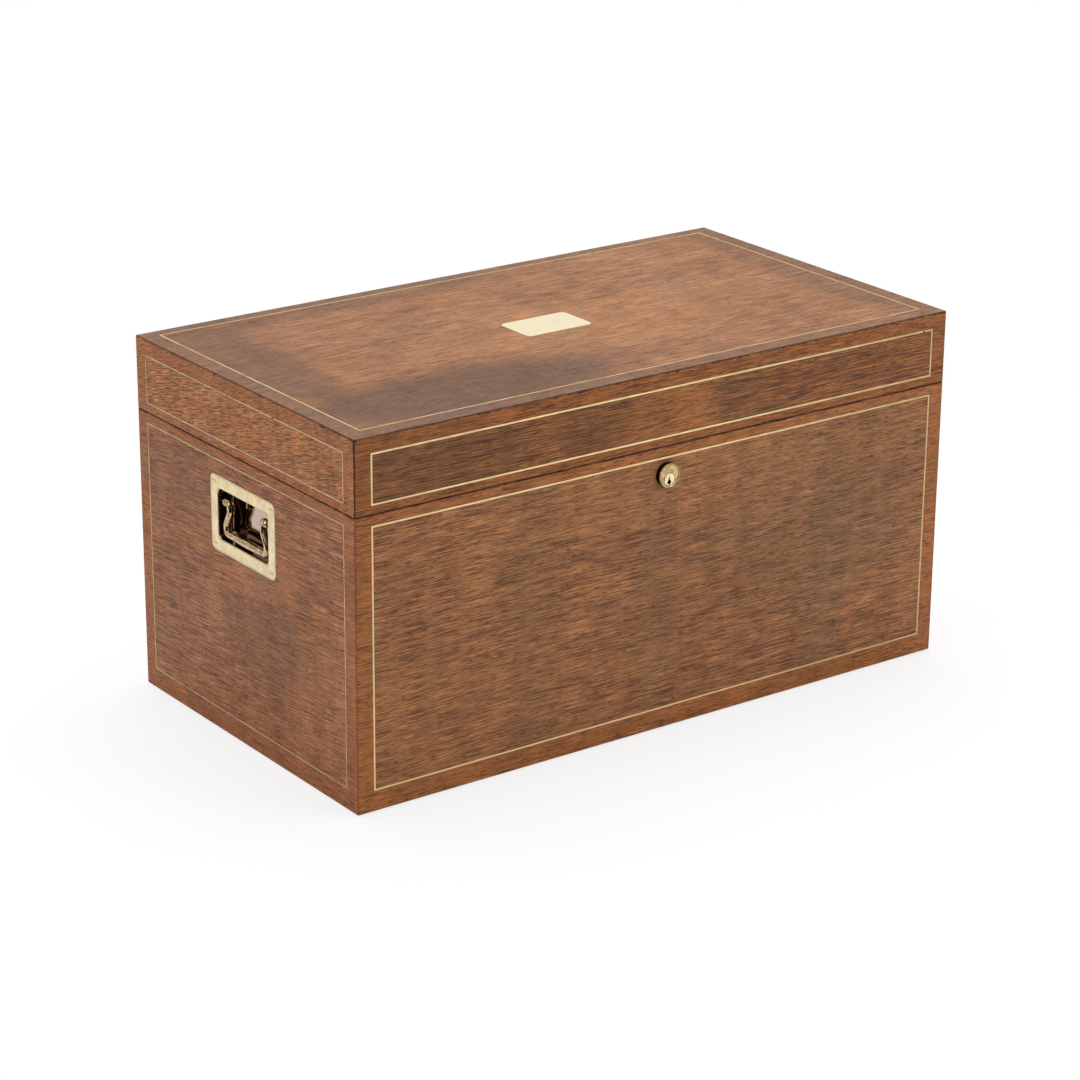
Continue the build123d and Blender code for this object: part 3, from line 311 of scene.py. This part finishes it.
finish(["case_bottom"], bare_wood(
    "base_board_pale_wood", (0, 1, 2), ("8a6645", "b08a62", "c9a57c", "6d4d33"), seed=8, rough=0.6,
    pore_share=0.4))


# Baize: a thin green wool felt, cut by hand a little inside the walls and glued under the box. Its cut
# edges wander by half a millimetre, and its face is rubbed paler in clouds.
def baize_sheet():
    """A closed sheet that fills the CAD sheet's box, flat where it is glued and felted below."""
    low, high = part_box("base_baize")
    mesh = bmesh.new()
    columns, rows = 136, 74
    cut_wander, felt_lift = 0.0006, 0.00006
    sides = []
    for top in (False, True):
        points = []
        for row in range(rows + 1):
            for column in range(columns + 1):
                x = low[0] + (high[0] - low[0]) * column / columns
                y = low[1] + (high[1] - low[1]) * row / rows
                inward = cut_wander * (0.5 + 0.5 * noise.noise(Vector((x, y, 0)) * 60))
                x -= math.copysign(inward, x) if column in (0, columns) else 0
                y -= math.copysign(inward, y) if row in (0, rows) else 0
                lift = felt_lift * noise.noise(Vector((x, y, 3)) * 180) if not top else 0.0
                z = high[2] if top else low[2] + max(lift, 0)
                points.append(mesh.verts.new((x, y, z)))
        sides.append(points)

    def at(side, column, row):
        return sides[side][row * (columns + 1) + column]

    for row in range(rows):
        for column in range(columns):
            corners = [(column, row), (column + 1, row), (column + 1, row + 1), (column, row + 1)]
            mesh.faces.new([at(1, *c) for c in corners])
            mesh.faces.new([at(0, *c) for c in reversed(corners)])
    for column in range(columns):
        for side, row in ((0, 0), (1, rows)):
            mesh.faces.new([at(side, column, row), at(side, column + 1, row),
                            at(1 - side, column + 1, row), at(1 - side, column, row)])
    for row in range(rows):
        for side, column in ((1, 0), (0, columns)):
            mesh.faces.new([at(side, column, row), at(side, column, row + 1),
                            at(1 - side, column, row + 1), at(1 - side, column, row)])
    data = bpy.data.meshes.new("baize_sheet")
    mesh.to_mesh(data)
    mesh.free()
    piece = bpy.data.objects.new("baize_sheet", data)
    bpy.context.collection.objects.link(piece)
    return piece


# Felted wool has no weave and no shine, only fuzz of 0.9 mm and a faint pale nap, rubbed in clouds of 3 cm
made, tree, millimetres = new_material("baize_green_felt")
fuzz = add(tree, "TexNoise", millimetres, 1.1, 5.0, 0.8)
rubbed = add(tree, "VectorMath", millimetres, (0.018, 0.03, 0.03), operation="MULTIPLY")
rubbed = add(tree, "MapRange", add(tree, "TexNoise", rubbed, 1.0, 6.0, 0.7), 0.42, 0.66, 0.0, 0.6, **smooth)
felt = add(tree, "ValToRGB", fuzz, stops=[(0.32, "0f2416"), (0.52, "1c4028"), (0.72, "376541")])
add(tree, "OutputMaterial", add(tree, "BsdfPrincipled", named={
    "Base Color": add(tree, "Mix", rubbed, felt, linear("46604a"), data_type="RGBA"),
    "Roughness": 0.95, "Sheen Weight": 0.15,
    "Normal": add(tree, "Bump", named={"Strength": 0.7, "Distance": 0.0003, "Height": fuzz})}))
baize = baize_sheet()
baize.data.materials.append(made)
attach(baize, "case")
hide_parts("base_baize")

# Cedar: thin planed boards that line case and lid, with the cleats and the lift-out tray of the same wood.
# They are glued and never polished, so the wood stays pale pink brown and dull.
cedar = {"tones": ("99603f", "c08059", "dba07a", "774630"), "rough": 0.62, "pore_share": 0.5}
finish(["lining_front", "lining_back", "lid_lining_front", "lid_lining_back", "tray_sides"],
       bare_wood("cedar_boards_along_x", (0, 2, 1), seed=5, **cedar))
finish(["lining_left", "lining_right", "lid_lining_left", "lid_lining_right", "tray_cleats", "tray_ends",
        "tray_dividers"],
       bare_wood("cedar_boards_along_y", (1, 2, 0), seed=6, **cedar))
finish(["lining_bottom", "lid_lining_top", "tray_base"],
       bare_wood("cedar_panels", (0, 1, 2), seed=7, **cedar))


# String lines of the case: brass strip, 1.5 mm wide, glued into grooves, mitred at the corners and scraped
# level with the veneer. On the front they are kept bright, on the ends they have dulled.
def brass(name, colours, rough, brush, seed, tarnish=0.35, relief=0.4, spots=0.3, darkening=None, polish=None,
          mirror=None, cloud=0.09):
    """Brass, drawn, cast or filed: fine strokes that spread the shine, tarnish in clouds of 3 to 11 mm and
    dark specks of 1 mm. Real strokes are too fine to show and are drawn 0.3 to 1.7 mm apart.
    colours: metal, tarnish, and the dark of dirt and painted shade; rough: lowest and highest; brush: strokes
    a millimetre along each axis; darkening and polish: functions that say where the metal is dark, which is
    dirt on the strings, painted shade on the lock and painted shade with old polish in the dish, and where it
    is a mirror, and mirror is its colour there; cloud: clouds of tarnish a millimetre."""
    made, tree, millimetres = new_material(name)
    moved = add(tree, "VectorMath", millimetres, (seed * 61.0, seed * 37.0, seed * 23.0), operation="ADD")
    strokes = add(tree, "VectorMath", moved, brush, operation="MULTIPLY")
    strokes = add(tree, "TexNoise", strokes, 1.0, 2.0, 0.6)
    dull = add(tree, "TexNoise", moved, cloud, 4.0, 0.62, named={"Distortion": 0.5})
    specks = add(tree, "MapRange", add(tree, "TexNoise", moved, 1.1, 3.0, 0.7), 0.6, 0.78, **smooth)
    metal, aged, grime_and_shade = colours
    tarnished = add(tree, "MapRange", dull, 0.38, 0.68, 0.0, tarnish, **smooth)
    colour = add(tree, "Mix", tarnished, linear(metal), linear(aged), data_type="RGBA")
    specks = add(tree, "Math", specks, spots, operation="MULTIPLY")
    colour = add(tree, "Mix", specks, colour, linear(grime_and_shade), data_type="RGBA")
    level = add(tree, "MapRange", dull, 0.3, 0.7, *rough, **smooth)
    level = add(tree, "Math", strokes, (rough[1] - rough[0]) * 0.5, level, operation="MULTIPLY_ADD")
    height = strokes
    if polish:
        shine = polish(tree, millimetres)
        colour = add(tree, "Mix", shine, colour, linear(mirror), data_type="RGBA")
        smoother = add(tree, "Math", shine, -0.78, 1.0, operation="MULTIPLY_ADD")
        level = add(tree, "Math", level, smoother, operation="MULTIPLY")
        height = add(tree, "Math", strokes, add(tree, "Math", 1.0, shine, operation="SUBTRACT"),
                     operation="MULTIPLY")
    # Dark colour: dirt on the strings, painted shade on the lock, painted shade and old polish in the dish
    if darkening:
        colour = add(tree, "Mix", darkening(tree, millimetres), colour, linear(grime_and_shade), data_type="RGBA")
    add(tree, "OutputMaterial", add(tree, "BsdfPrincipled", named={
        "Base Color": colour, "Metallic": 1.0, "Roughness": level,
        "Normal": add(tree, "Bump", named={"Strength": relief, "Distance": 0.00006, "Height": height})}))
    return made


def string_dirt(axes, panel, clean, nick=None, far_end=0.0):
    """Where a string line is dirty: further than clean, in mm, from its middle; at a nick, given by its
    place along the face and the level that it starts at; and, by the share far_end, at the right end."""
    def darkening(tree, millimetres):
        parts = add(tree, "SeparateXYZ", millimetres).outputs
        u, v = parts[axes[0]], parts[axes[1]]
        inside = edge_gap(tree, add(tree, "CombineXYZ", u, v, 0.0), *panel)
        off = add(tree, "Math", inside, operation="ABSOLUTE")
        dark = add(tree, "MapRange", off, clean, clean + 0.25, 0.0, 0.9, **smooth)
        if far_end:
            duller = add(tree, "MapRange", u, -20.0, 270.0, 0.0, far_end, **smooth)
            dark = add(tree, "Math", dark, duller, operation="MAXIMUM")
        if nick:
            off = add(tree, "Math", add(tree, "Math", u, nick[0], operation="SUBTRACT"), operation="ABSOLUTE")
            mark = add(tree, "Math", add(tree, "MapRange", off, 1.1, 0.6, **smooth),
                       add(tree, "Math", v, nick[1], operation="GREATER_THAN"), operation="MULTIPLY")
            dark = add(tree, "Math", dark, mark, operation="MAXIMUM")
        return dark
    return darkening


bright_string = ("f2d9a4", "dcbd84", "6e4a26")
bright_rough = (0.34, 0.5)
dull_string = ("d3bb90", "ad936b", "5a3d26")
dull_rough = (0.45, 0.62)
finish(["string_case_front"], brass(
    "string_case_bright_brass", bright_string, bright_rough, brush=(0.02, 3.0, 3.0), seed=1,
    darkening=string_dirt((0, 2), front_panel, clean=0.55, far_end=0.38)))
finish(["string_case_left", "string_case_right"], brass(
    "string_case_dull_brass", dull_string, dull_rough, brush=(3.0, 0.02, 3.0), seed=2, tarnish=0.6,
    darkening=string_dirt((1, 2), end_panel, clean=0.38)))

# Flush handles: a brass plate and dish cast in one, let into the end boards and held by four screws, with a
# swan-neck bail on two driven pins. The plate is brushed and the dish polished, with a painted shade and
# dark reflection on the dish's walls; the bail is darkest.
dish_half_y, dish_half_z = 34.75, 19.75
dish_floor_x = box_half_x - 12.5


def in_dish(tree, millimetres):
    """1 inside the dish, 0 on the plate's outer face."""
    depth = add(tree, "Math", add(tree, "SeparateXYZ", millimetres), operation="ABSOLUTE")
    return add(tree, "MapRange", depth, box_half_x - 0.3, box_half_x - 1.1, **smooth)


def dish_tarnish_and_painted_shade(tree, millimetres):
    """Dark painted shade and reflection on the dish's walls; old polish brown round its lip and the plate's
    rim.
    """
    parts = add(tree, "SeparateXYZ", millimetres).outputs
    flat = add(tree, "CombineXYZ", parts[1], parts[2], 0.0)
    depth = add(tree, "Math", parts[0], operation="ABSOLUTE")
    # painted shade and dark reflection on the walls of the dish
    walls = add(tree, "MapRange", depth, dish_floor_x + 0.2, dish_floor_x + 1.1, 0.0, 0.85, **smooth)
    walls = add(tree, "Math", in_dish(tree, millimetres), walls, operation="MULTIPLY")
    lip = edge_gap(tree, flat, -dish_half_y, dish_half_y, handle_up - dish_half_z, handle_up + dish_half_z)
    brown = add(tree, "Math", lip, operation="ABSOLUTE")
    brown = add(tree, "MapRange", brown, 1.3, 0.3, 0.0, 0.45, **smooth)
    rim = edge_gap(tree, flat, -plate_half_y, plate_half_y, handle_up - plate_half_z,
                   handle_up + plate_half_z)
    rim = add(tree, "MapRange", rim, 2.4, 0.2, 0.0, 0.3, **smooth)
    brown = add(tree, "Math", brown, rim, operation="MAXIMUM")
    return add(tree, "Math", walls, brown, operation="MAXIMUM")


finish(["handle_dish_left", "handle_dish_right"], brass(
    "handle_plate_brushed_brass", ("e0cfa9", "bda57c", "6b4a2c"), rough=(0.2, 0.34), brush=(0.9, 0.05, 2.6),
    seed=3, tarnish=0.5, relief=0.5, spots=0.25, darkening=dish_tarnish_and_painted_shade, polish=in_dish, mirror="b3a093"))
finish(["handle_bail_left", "handle_bail_right", "handle_pivot_pins"], brass(
    "handle_bail_polished_brass", ("cdb28e", "705641", "33231a"), rough=(0.04, 0.1), brush=(0.6, 0.6, 0.6),
    seed=4, tarnish=0.85, relief=0.15, spots=0.35, cloud=0.26))
finish(["handle_screws"], brass(
    "handle_screw_worn_brass", ("dac8a3", "b99f78", "6b4a2c"), rough=(0.24, 0.38), brush=(2.0, 0.3, 2.0),
    seed=15, cloud=0.3))

# Lock: a turned brass head with a raised rim and a paler plug in it, and behind the front board the plain
# rolled brass of the cam, the case, the bolt and the plate in the lid, screwed in from the rims. Shade is
# painted dark on the side of the head, at the inner foot of its rim and in the keyway.
lock_up, rim_foot_radius, rim_radius = 205.25, 8.3, 9.2
plug_face_y = -154.85


def head_side_painted_shade(tree, millimetres):
    """Painted shade: 1 on the side of the head, half at the inner foot of its raised rim."""
    from_middle = add(tree, "VectorMath", millimetres, (0.0, 0.0, lock_up), operation="SUBTRACT")
    from_middle = add(tree, "VectorMath", from_middle, (1.0, 0.0, 1.0), operation="MULTIPLY")
    out = add(tree, "VectorMath", from_middle, operation="LENGTH")
    foot = add(tree, "Math", out, rim_foot_radius, operation="SUBTRACT")
    foot = add(tree, "Math", foot, operation="ABSOLUTE")
    foot = add(tree, "MapRange", foot, 0.4, 0.0, 0.0, 0.5, **smooth)
    side = add(tree, "MapRange", out, rim_radius + 0.05, rim_radius + 0.3, **smooth)
    return add(tree, "Math", side, foot, operation="MAXIMUM")


def keyway_painted_shade(tree, millimetres):
    """Painted shade: 1 inside the keyway and behind the face of the plug."""
    depth = add(tree, "SeparateXYZ", millimetres).outputs[1]
    return add(tree, "MapRange", depth, plug_face_y + 0.45, plug_face_y + 0.85, **smooth)


finish(["lock_cylinder"], brass(
    "lock_head_turned_brass", ("d3b987", "9a7350", "1f130b"), rough=(0.2, 0.36), brush=(1.2, 0.2, 1.2),
    seed=6, tarnish=0.85, spots=0.2, darkening=head_side_painted_shade, cloud=0.3))
finish(["lock_plug"], brass(
    "lock_plug_pale_brass", ("ecdfb6", "cbb07e", "2a1c10"), rough=(0.2, 0.34), brush=(1.5, 0.2, 1.5),
    seed=7, tarnish=0.5, spots=0.15, darkening=keyway_painted_shade, cloud=0.3))
finish(["lock_cam", "lock_case", "lock_cap", "lock_bolt", "link_plate"], brass(
    "lock_works_dull_brass", ("c9a96a", "96784a", "4f3a20"), rough=(0.35, 0.55), brush=(0.2, 2.0, 2.0),
    seed=8, tarnish=0.6))

# Hinges: stop hinges of drawn brass, let into the rims of the back boards, brushed along their knuckles.
# They and the lock, link plate and humidifier are held by countersunk brass screws, filed flush.
finish(["hinge_left_case_leaf", "hinge_right_case_leaf", "hinge_left_lid_leaf", "hinge_right_lid_leaf",
        "hinge_pins"], brass(
    "hinge_drawn_brass", ("dcc184", "b0915a", "5f4726"), rough=(0.25, 0.42), brush=(0.05, 2.4, 2.4), seed=9))
finish(["hinge_case_screws", "hinge_lid_screws", "lock_screws", "link_plate_screws",
        "humidifier_screws"], brass(
    "screw_brass_filed", ("d8c08c", "b3935c", "5d4425"), rough=(0.28, 0.45), brush=(2.0, 2.0, 0.3), seed=5))

# Lid: walls veneered like the case below them, and a bevelled top board let in between them. The top is
# darker and greyer in patches, most at the front left, where the dark is partly wear and partly a painted
# reflection; a paler patch in its middle is a painted sheen. It keeps a rubbed plate.
lid_front_face = (box_half_x, (joint_up, box_up), box_half_y)
lid_end_face = (box_half_y, (joint_up, box_up), box_half_x)
lid_top_face = (box_half_x, (-box_half_y, box_half_y), box_up)
lid_low, lid_high = 234.7, 272.1
lid_front_panel = (-string_half_x, string_half_x, lid_low, lid_high)
lid_end_panel = (-string_half_y, string_half_y, lid_low, lid_high)
top_in_ends, top_in_front, top_in_back = 15.0, 15.5, 12.0
top_panel = (top_in_ends - box_half_x, box_half_x - top_in_ends, top_in_front - box_half_y,
             box_half_y - top_in_back)
plaque_let_in = ((-2.8, -2.8), (30.8, 19.6), 5.0)
lid_tones = ("5e3820", "90562b", "b57238", "a66027", "674526")
lid_end_tones = ("6c3f23", "9f6132", "c27d44", "9a5827", "805230")
top_tones = ("6b452b", "98613a", "b47a47", "76533c", "664329")
finish(["lid_front"], veneer(
    "veneer_lid_front", (0, 2, 1), lid_front_face, lid_front_panel, lid_tones, seed=9, wear=0.9,
    patches=[((-200, 256), (90, 34), 0.4), ((-65, 254), (36, 40), 0.3), ((70, 250), (32, 40), 0.35),
             ((5, 252), (48, 48), -0.6)]))
finish(["lid_back"], veneer(
    "veneer_lid_back", (0, 2, 1), lid_front_face, no_panel, lid_tones, seed=10, wear=0.8))
finish(["lid_left_side"], veneer(
    "veneer_lid_left", (1, 2, 0), lid_end_face, lid_end_panel, lid_end_tones, seed=11, slant=14.0,
    short=2.6, wear=0.9, pores=0.55))
finish(["lid_right_side"], veneer(
    "veneer_lid_right", (1, 2, 0), lid_end_face, lid_end_panel, lid_end_tones, seed=12, slant=-8.0,
    short=2.2, wear=0.9, pores=0.55))
finish(["lid_top"], veneer(
    "veneer_lid_top", (0, 1, 2), lid_top_face, top_panel, top_tones, seed=13,
    # The first patch, dark at the front left, is partly wear and partly a painted reflection; the last, paler
    # in the middle, is a painted sheen.
    patches=[((-150, -100), (150, 60), 0.95), ((-235, 20), (34, 150), 0.7), ((255, 0), (26, 170), 0.4),
             ((-120, 135), (200, 26), 0.5), ((40, -20), (170, 70), -0.35)],
    inlays=[plaque_let_in], pores=0.55))
finish(["string_lid_front"], brass(
    "string_lid_bright_brass", bright_string, bright_rough, brush=(0.02, 3.0, 3.0), seed=12,
    darkening=string_dirt((0, 2), lid_front_panel, clean=0.55, nick=(252.0, 260.0), far_end=0.38)))
finish(["string_lid_left", "string_lid_right"], brass(
    "string_lid_dull_brass", dull_string, dull_rough, brush=(3.0, 0.02, 3.0), seed=13, tarnish=0.6,
    darkening=string_dirt((1, 2), lid_end_panel, clean=0.38, nick=(-45.0, 260.0))))
finish(["string_lid_top"], brass(
    "string_top_dull_brass", dull_string, dull_rough, brush=(0.5, 0.5, 3.0), seed=14, tarnish=0.6,
    darkening=string_dirt((0, 1), top_panel, clean=0.5)))
finish(["lid_plaque"], brass(
    "plaque_rubbed_brass", ("f2e6c6", "dccb9f", "8b6f4a"), rough=(0.26, 0.42), brush=(0.06, 2.2, 2.0),
    seed=10, tarnish=0.5, relief=0.35, spots=0.2))

# Humidifier: a shallow brass case with a slotted cover, screwed under the lid, and a damp foam pad in it.
# The brass is lacquered, so it stays yellow and even; the foam is soft at its edges and open at its skin.
finish(["humidifier_case", "humidifier_cover"], brass(
    "humidifier_lacquered_brass", ("dcc088", "c0a066", "6b5230"), rough=(0.22, 0.36),
    brush=(0.05, 1.8, 1.8), seed=11))


def foam_block(name, low, high, edge):
    """A closed rounded block between two corners with a dimpled skin. The cuts leave its corners in another
    order each time, so the mesh is filled in sorted order."""
    size = Vector(high) - Vector(low)
    middle = (Vector(high) + Vector(low)) / 2
    dimple, columns, rows = 0.0004, 60, 24
    mesh = bmesh.new()
    bmesh.ops.create_cube(mesh, size=1.0, matrix=Matrix.Translation(middle) @ Matrix.Diagonal((*size, 1.0)))
    bmesh.ops.bevel(mesh, geom=mesh.edges[:], offset=edge, segments=4, profile=0.5, affect="EDGES")
    for axis, count in ((0, columns), (1, rows)):
        for step in range(1, count):
            point = Vector(low)
            point[axis] += size[axis] * step / count
            normal = Vector((0, 0, 0))
            normal[axis] = 1.0
            bmesh.ops.bisect_plane(mesh, geom=mesh.verts[:] + mesh.edges[:] + mesh.faces[:], plane_co=point,
                                   plane_no=normal)
    for vertex in mesh.verts:
        pull = abs(noise.noise(vertex.co * 420)) * dimple
        vertex.co += (middle - vertex.co).normalized() * pull
    bmesh.ops.recalc_face_normals(mesh, faces=mesh.faces[:])
    points = sorted(vertex.co[:] for vertex in mesh.verts)
    number = {point: index for index, point in enumerate(points)}
    faces = sorted([number[vertex.co[:]] for vertex in face.verts] for face in mesh.faces)
    mesh.free()
    data = bpy.data.meshes.new(name)
    data.from_pydata(points, [], faces)
    data.shade_smooth()
    piece = bpy.data.objects.new(name, data)
    bpy.context.collection.objects.link(piece)
    return piece


# Open cells of 1.1 mm, pale walls round dark holes, with brown stains of 20 mm from the water
made, tree, millimetres = new_material("foam_damp_open_cell")
cells = add(tree, "TexVoronoi", millimetres, 0.9)
cell_walls = add(tree, "MapRange", cells, 0.18, 0.5, **smooth)
stains = add(tree, "MapRange", add(tree, "TexNoise", millimetres, 0.05, 3.0), 0.45, 0.7, 0.0, 0.4, **smooth)
foam = add(tree, "Mix", cell_walls, linear("7f7868"), linear("d8d2c0"), data_type="RGBA")
add(tree, "OutputMaterial", add(tree, "BsdfPrincipled", named={
    "Base Color": add(tree, "Mix", stains, foam, linear("b9a884"), data_type="RGBA"), "Roughness": 0.9,
    "Normal": add(tree, "Bump", named={"Strength": 0.8, "Distance": 0.0006, "Height": cell_walls})}))
pad = foam_block("humidifier_foam", *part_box("humidifier_pad"), edge=0.0016)
pad.data.materials.append(made)
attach(pad, "lid")
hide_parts("humidifier_pad")

# Floor: a wide sheet of white paper that keeps the soft shadow of the box, laid a hair under the baize. In
# reflections it ends at the dark side of the room, where the camera stands. The paper's tooth is too fine
# to show and is drawn 1.2 mm wide.
reach, below = 6.0, -0.0003
corners = [(-reach, -reach, below), (reach, -reach, below), (reach, reach, below), (-reach, reach, below)]
floor_mesh = bpy.data.meshes.new("studio_floor")
floor_mesh.from_pydata(corners, [], [(0, 1, 2, 3)])
floor = bpy.data.objects.new("studio_floor", floor_mesh)
bpy.context.collection.objects.link(floor)
made, tree, millimetres = new_material("floor_white_paper")
tooth = add(tree, "TexNoise", millimetres, 0.8, 3.0)
paper = add(tree, "BsdfPrincipled", named={
    "Base Color": (0.9, 0.9, 0.9, 1.0), "Specular IOR Level": 0.1,
    "Roughness": add(tree, "MapRange", tooth, 0.3, 0.7, 0.9, 0.96, **smooth)})
ray = add(tree, "LightPath").outputs
from_box = add(tree, "VectorMath", millimetres, operation="LENGTH")
whiter = add(tree, "MapRange", from_box, 330.0, 740.0, 0.76, 1.0, **smooth)
whiter = add(tree, "Math", whiter, ray["Is Camera Ray"], operation="MULTIPLY")
lit = add(tree, "MixShader", whiter, paper, add(tree, "Emission", (1.0, 1.0, 1.0, 1.0), 1.0))
to_camera = add(tree, "VectorMath", millimetres, (-0.59, -0.81, 0.0), operation="DOT_PRODUCT")
to_camera = add(tree, "MapRange", to_camera, 380.0, 460.0, **smooth)
sideways = add(tree, "VectorMath", millimetres, (0.81, -0.59, 0.0), operation="DOT_PRODUCT")
sideways = add(tree, "MapRange", sideways, 340.0, 220.0, **smooth)
cloth = add(tree, "Math", to_camera, sideways, operation="MULTIPLY")
cloth = add(tree, "Math", cloth, ray["Is Glossy Ray"], operation="MULTIPLY")
lit = add(tree, "MixShader", cloth, lit, add(tree, "Emission", (0.03, 0.028, 0.026, 1.0), 1.0))
add(tree, "OutputMaterial", lit)
floor_mesh.materials.append(made)

# Room: pure white where the camera sees it; for light and reflections a bright backdrop behind the box, a
# soft ceiling and a dark side towards the camera.
world = bpy.data.worlds.new("studio_room")
bpy.context.scene.world = world
world.use_nodes = True
room = world.node_tree
room.nodes.clear()
way = add(room, "TexCoord").outputs["Generated"]
behind = add(room, "VectorMath", way, (0.59, 0.81, 0.0), operation="DOT_PRODUCT")
walls = add(room, "MapRange", behind, -0.45, 0.5, 0.15, 0.9, **smooth)
ceiling = add(room, "MapRange", add(room, "SeparateXYZ", way).outputs[2], 0.35, 0.9, 0.0, 0.5, **smooth)
level = add(room, "Math", walls, ceiling, operation="MAXIMUM")
room_light = add(room, "Background", (1.0, 0.985, 0.965, 1.0), level)
white = add(room, "Background", (1.0, 1.0, 1.0, 1.0), 1.0)
camera_ray = add(room, "LightPath").outputs["Is Camera Ray"]
add(room, "OutputWorld", add(room, "MixShader", camera_ray, room_light, white))


# Lamps: three large softboxes, one over the box and one on each side of the camera.
def softbox(name, place, aim, size, watts):
    """A rectangular light at a place, turned to a point."""
    lamp = bpy.data.lights.new(name, "AREA")
    lamp.shape = "RECTANGLE"
    lamp.size, lamp.size_y = size
    lamp.energy = watts
    holder = bpy.data.objects.new(name, lamp)
    holder.location = place
    holder.rotation_euler = (Vector(aim) - Vector(place)).to_track_quat("-Z", "Y").to_euler()
    bpy.context.collection.objects.link(holder)


softbox("softbox_overhead", (0.3, 0.3, 2.6), (0, 0, 0.1), (3.0, 2.6), 54)
softbox("softbox_front_right", (1.6, -2.4, 1.4), (0, 0, 0.12), (1.2, 1.2), 18)
softbox("softbox_left", (-2.6, -0.2, 1.3), (0, 0, 0.12), (1.2, 1.2), 20)

# Camera: the photograph's view, from the front left and above, through a long lens.
azimuth, elevation, roll = math.radians(-36.22), math.radians(20.47), math.radians(0.47)
distance = 2.608
target = Vector((-0.005, 0.0, 0.108))
lens = bpy.data.cameras.new("camera")
lens.sensor_width = 36.0
lens.lens = 110.8
camera = bpy.data.objects.new("camera", lens)
back = Vector((math.sin(azimuth) * math.cos(elevation), -math.cos(azimuth) * math.cos(elevation),
               math.sin(elevation)))
camera.location = target + back * distance
camera.rotation_euler = (back.to_track_quat("Z", "Y").to_matrix() @ Matrix.Rotation(roll, 3, "Z")).to_euler()
bpy.context.collection.objects.link(camera)
bpy.context.scene.camera = camera
bpy.context.scene.view_settings.view_transform = "Standard"
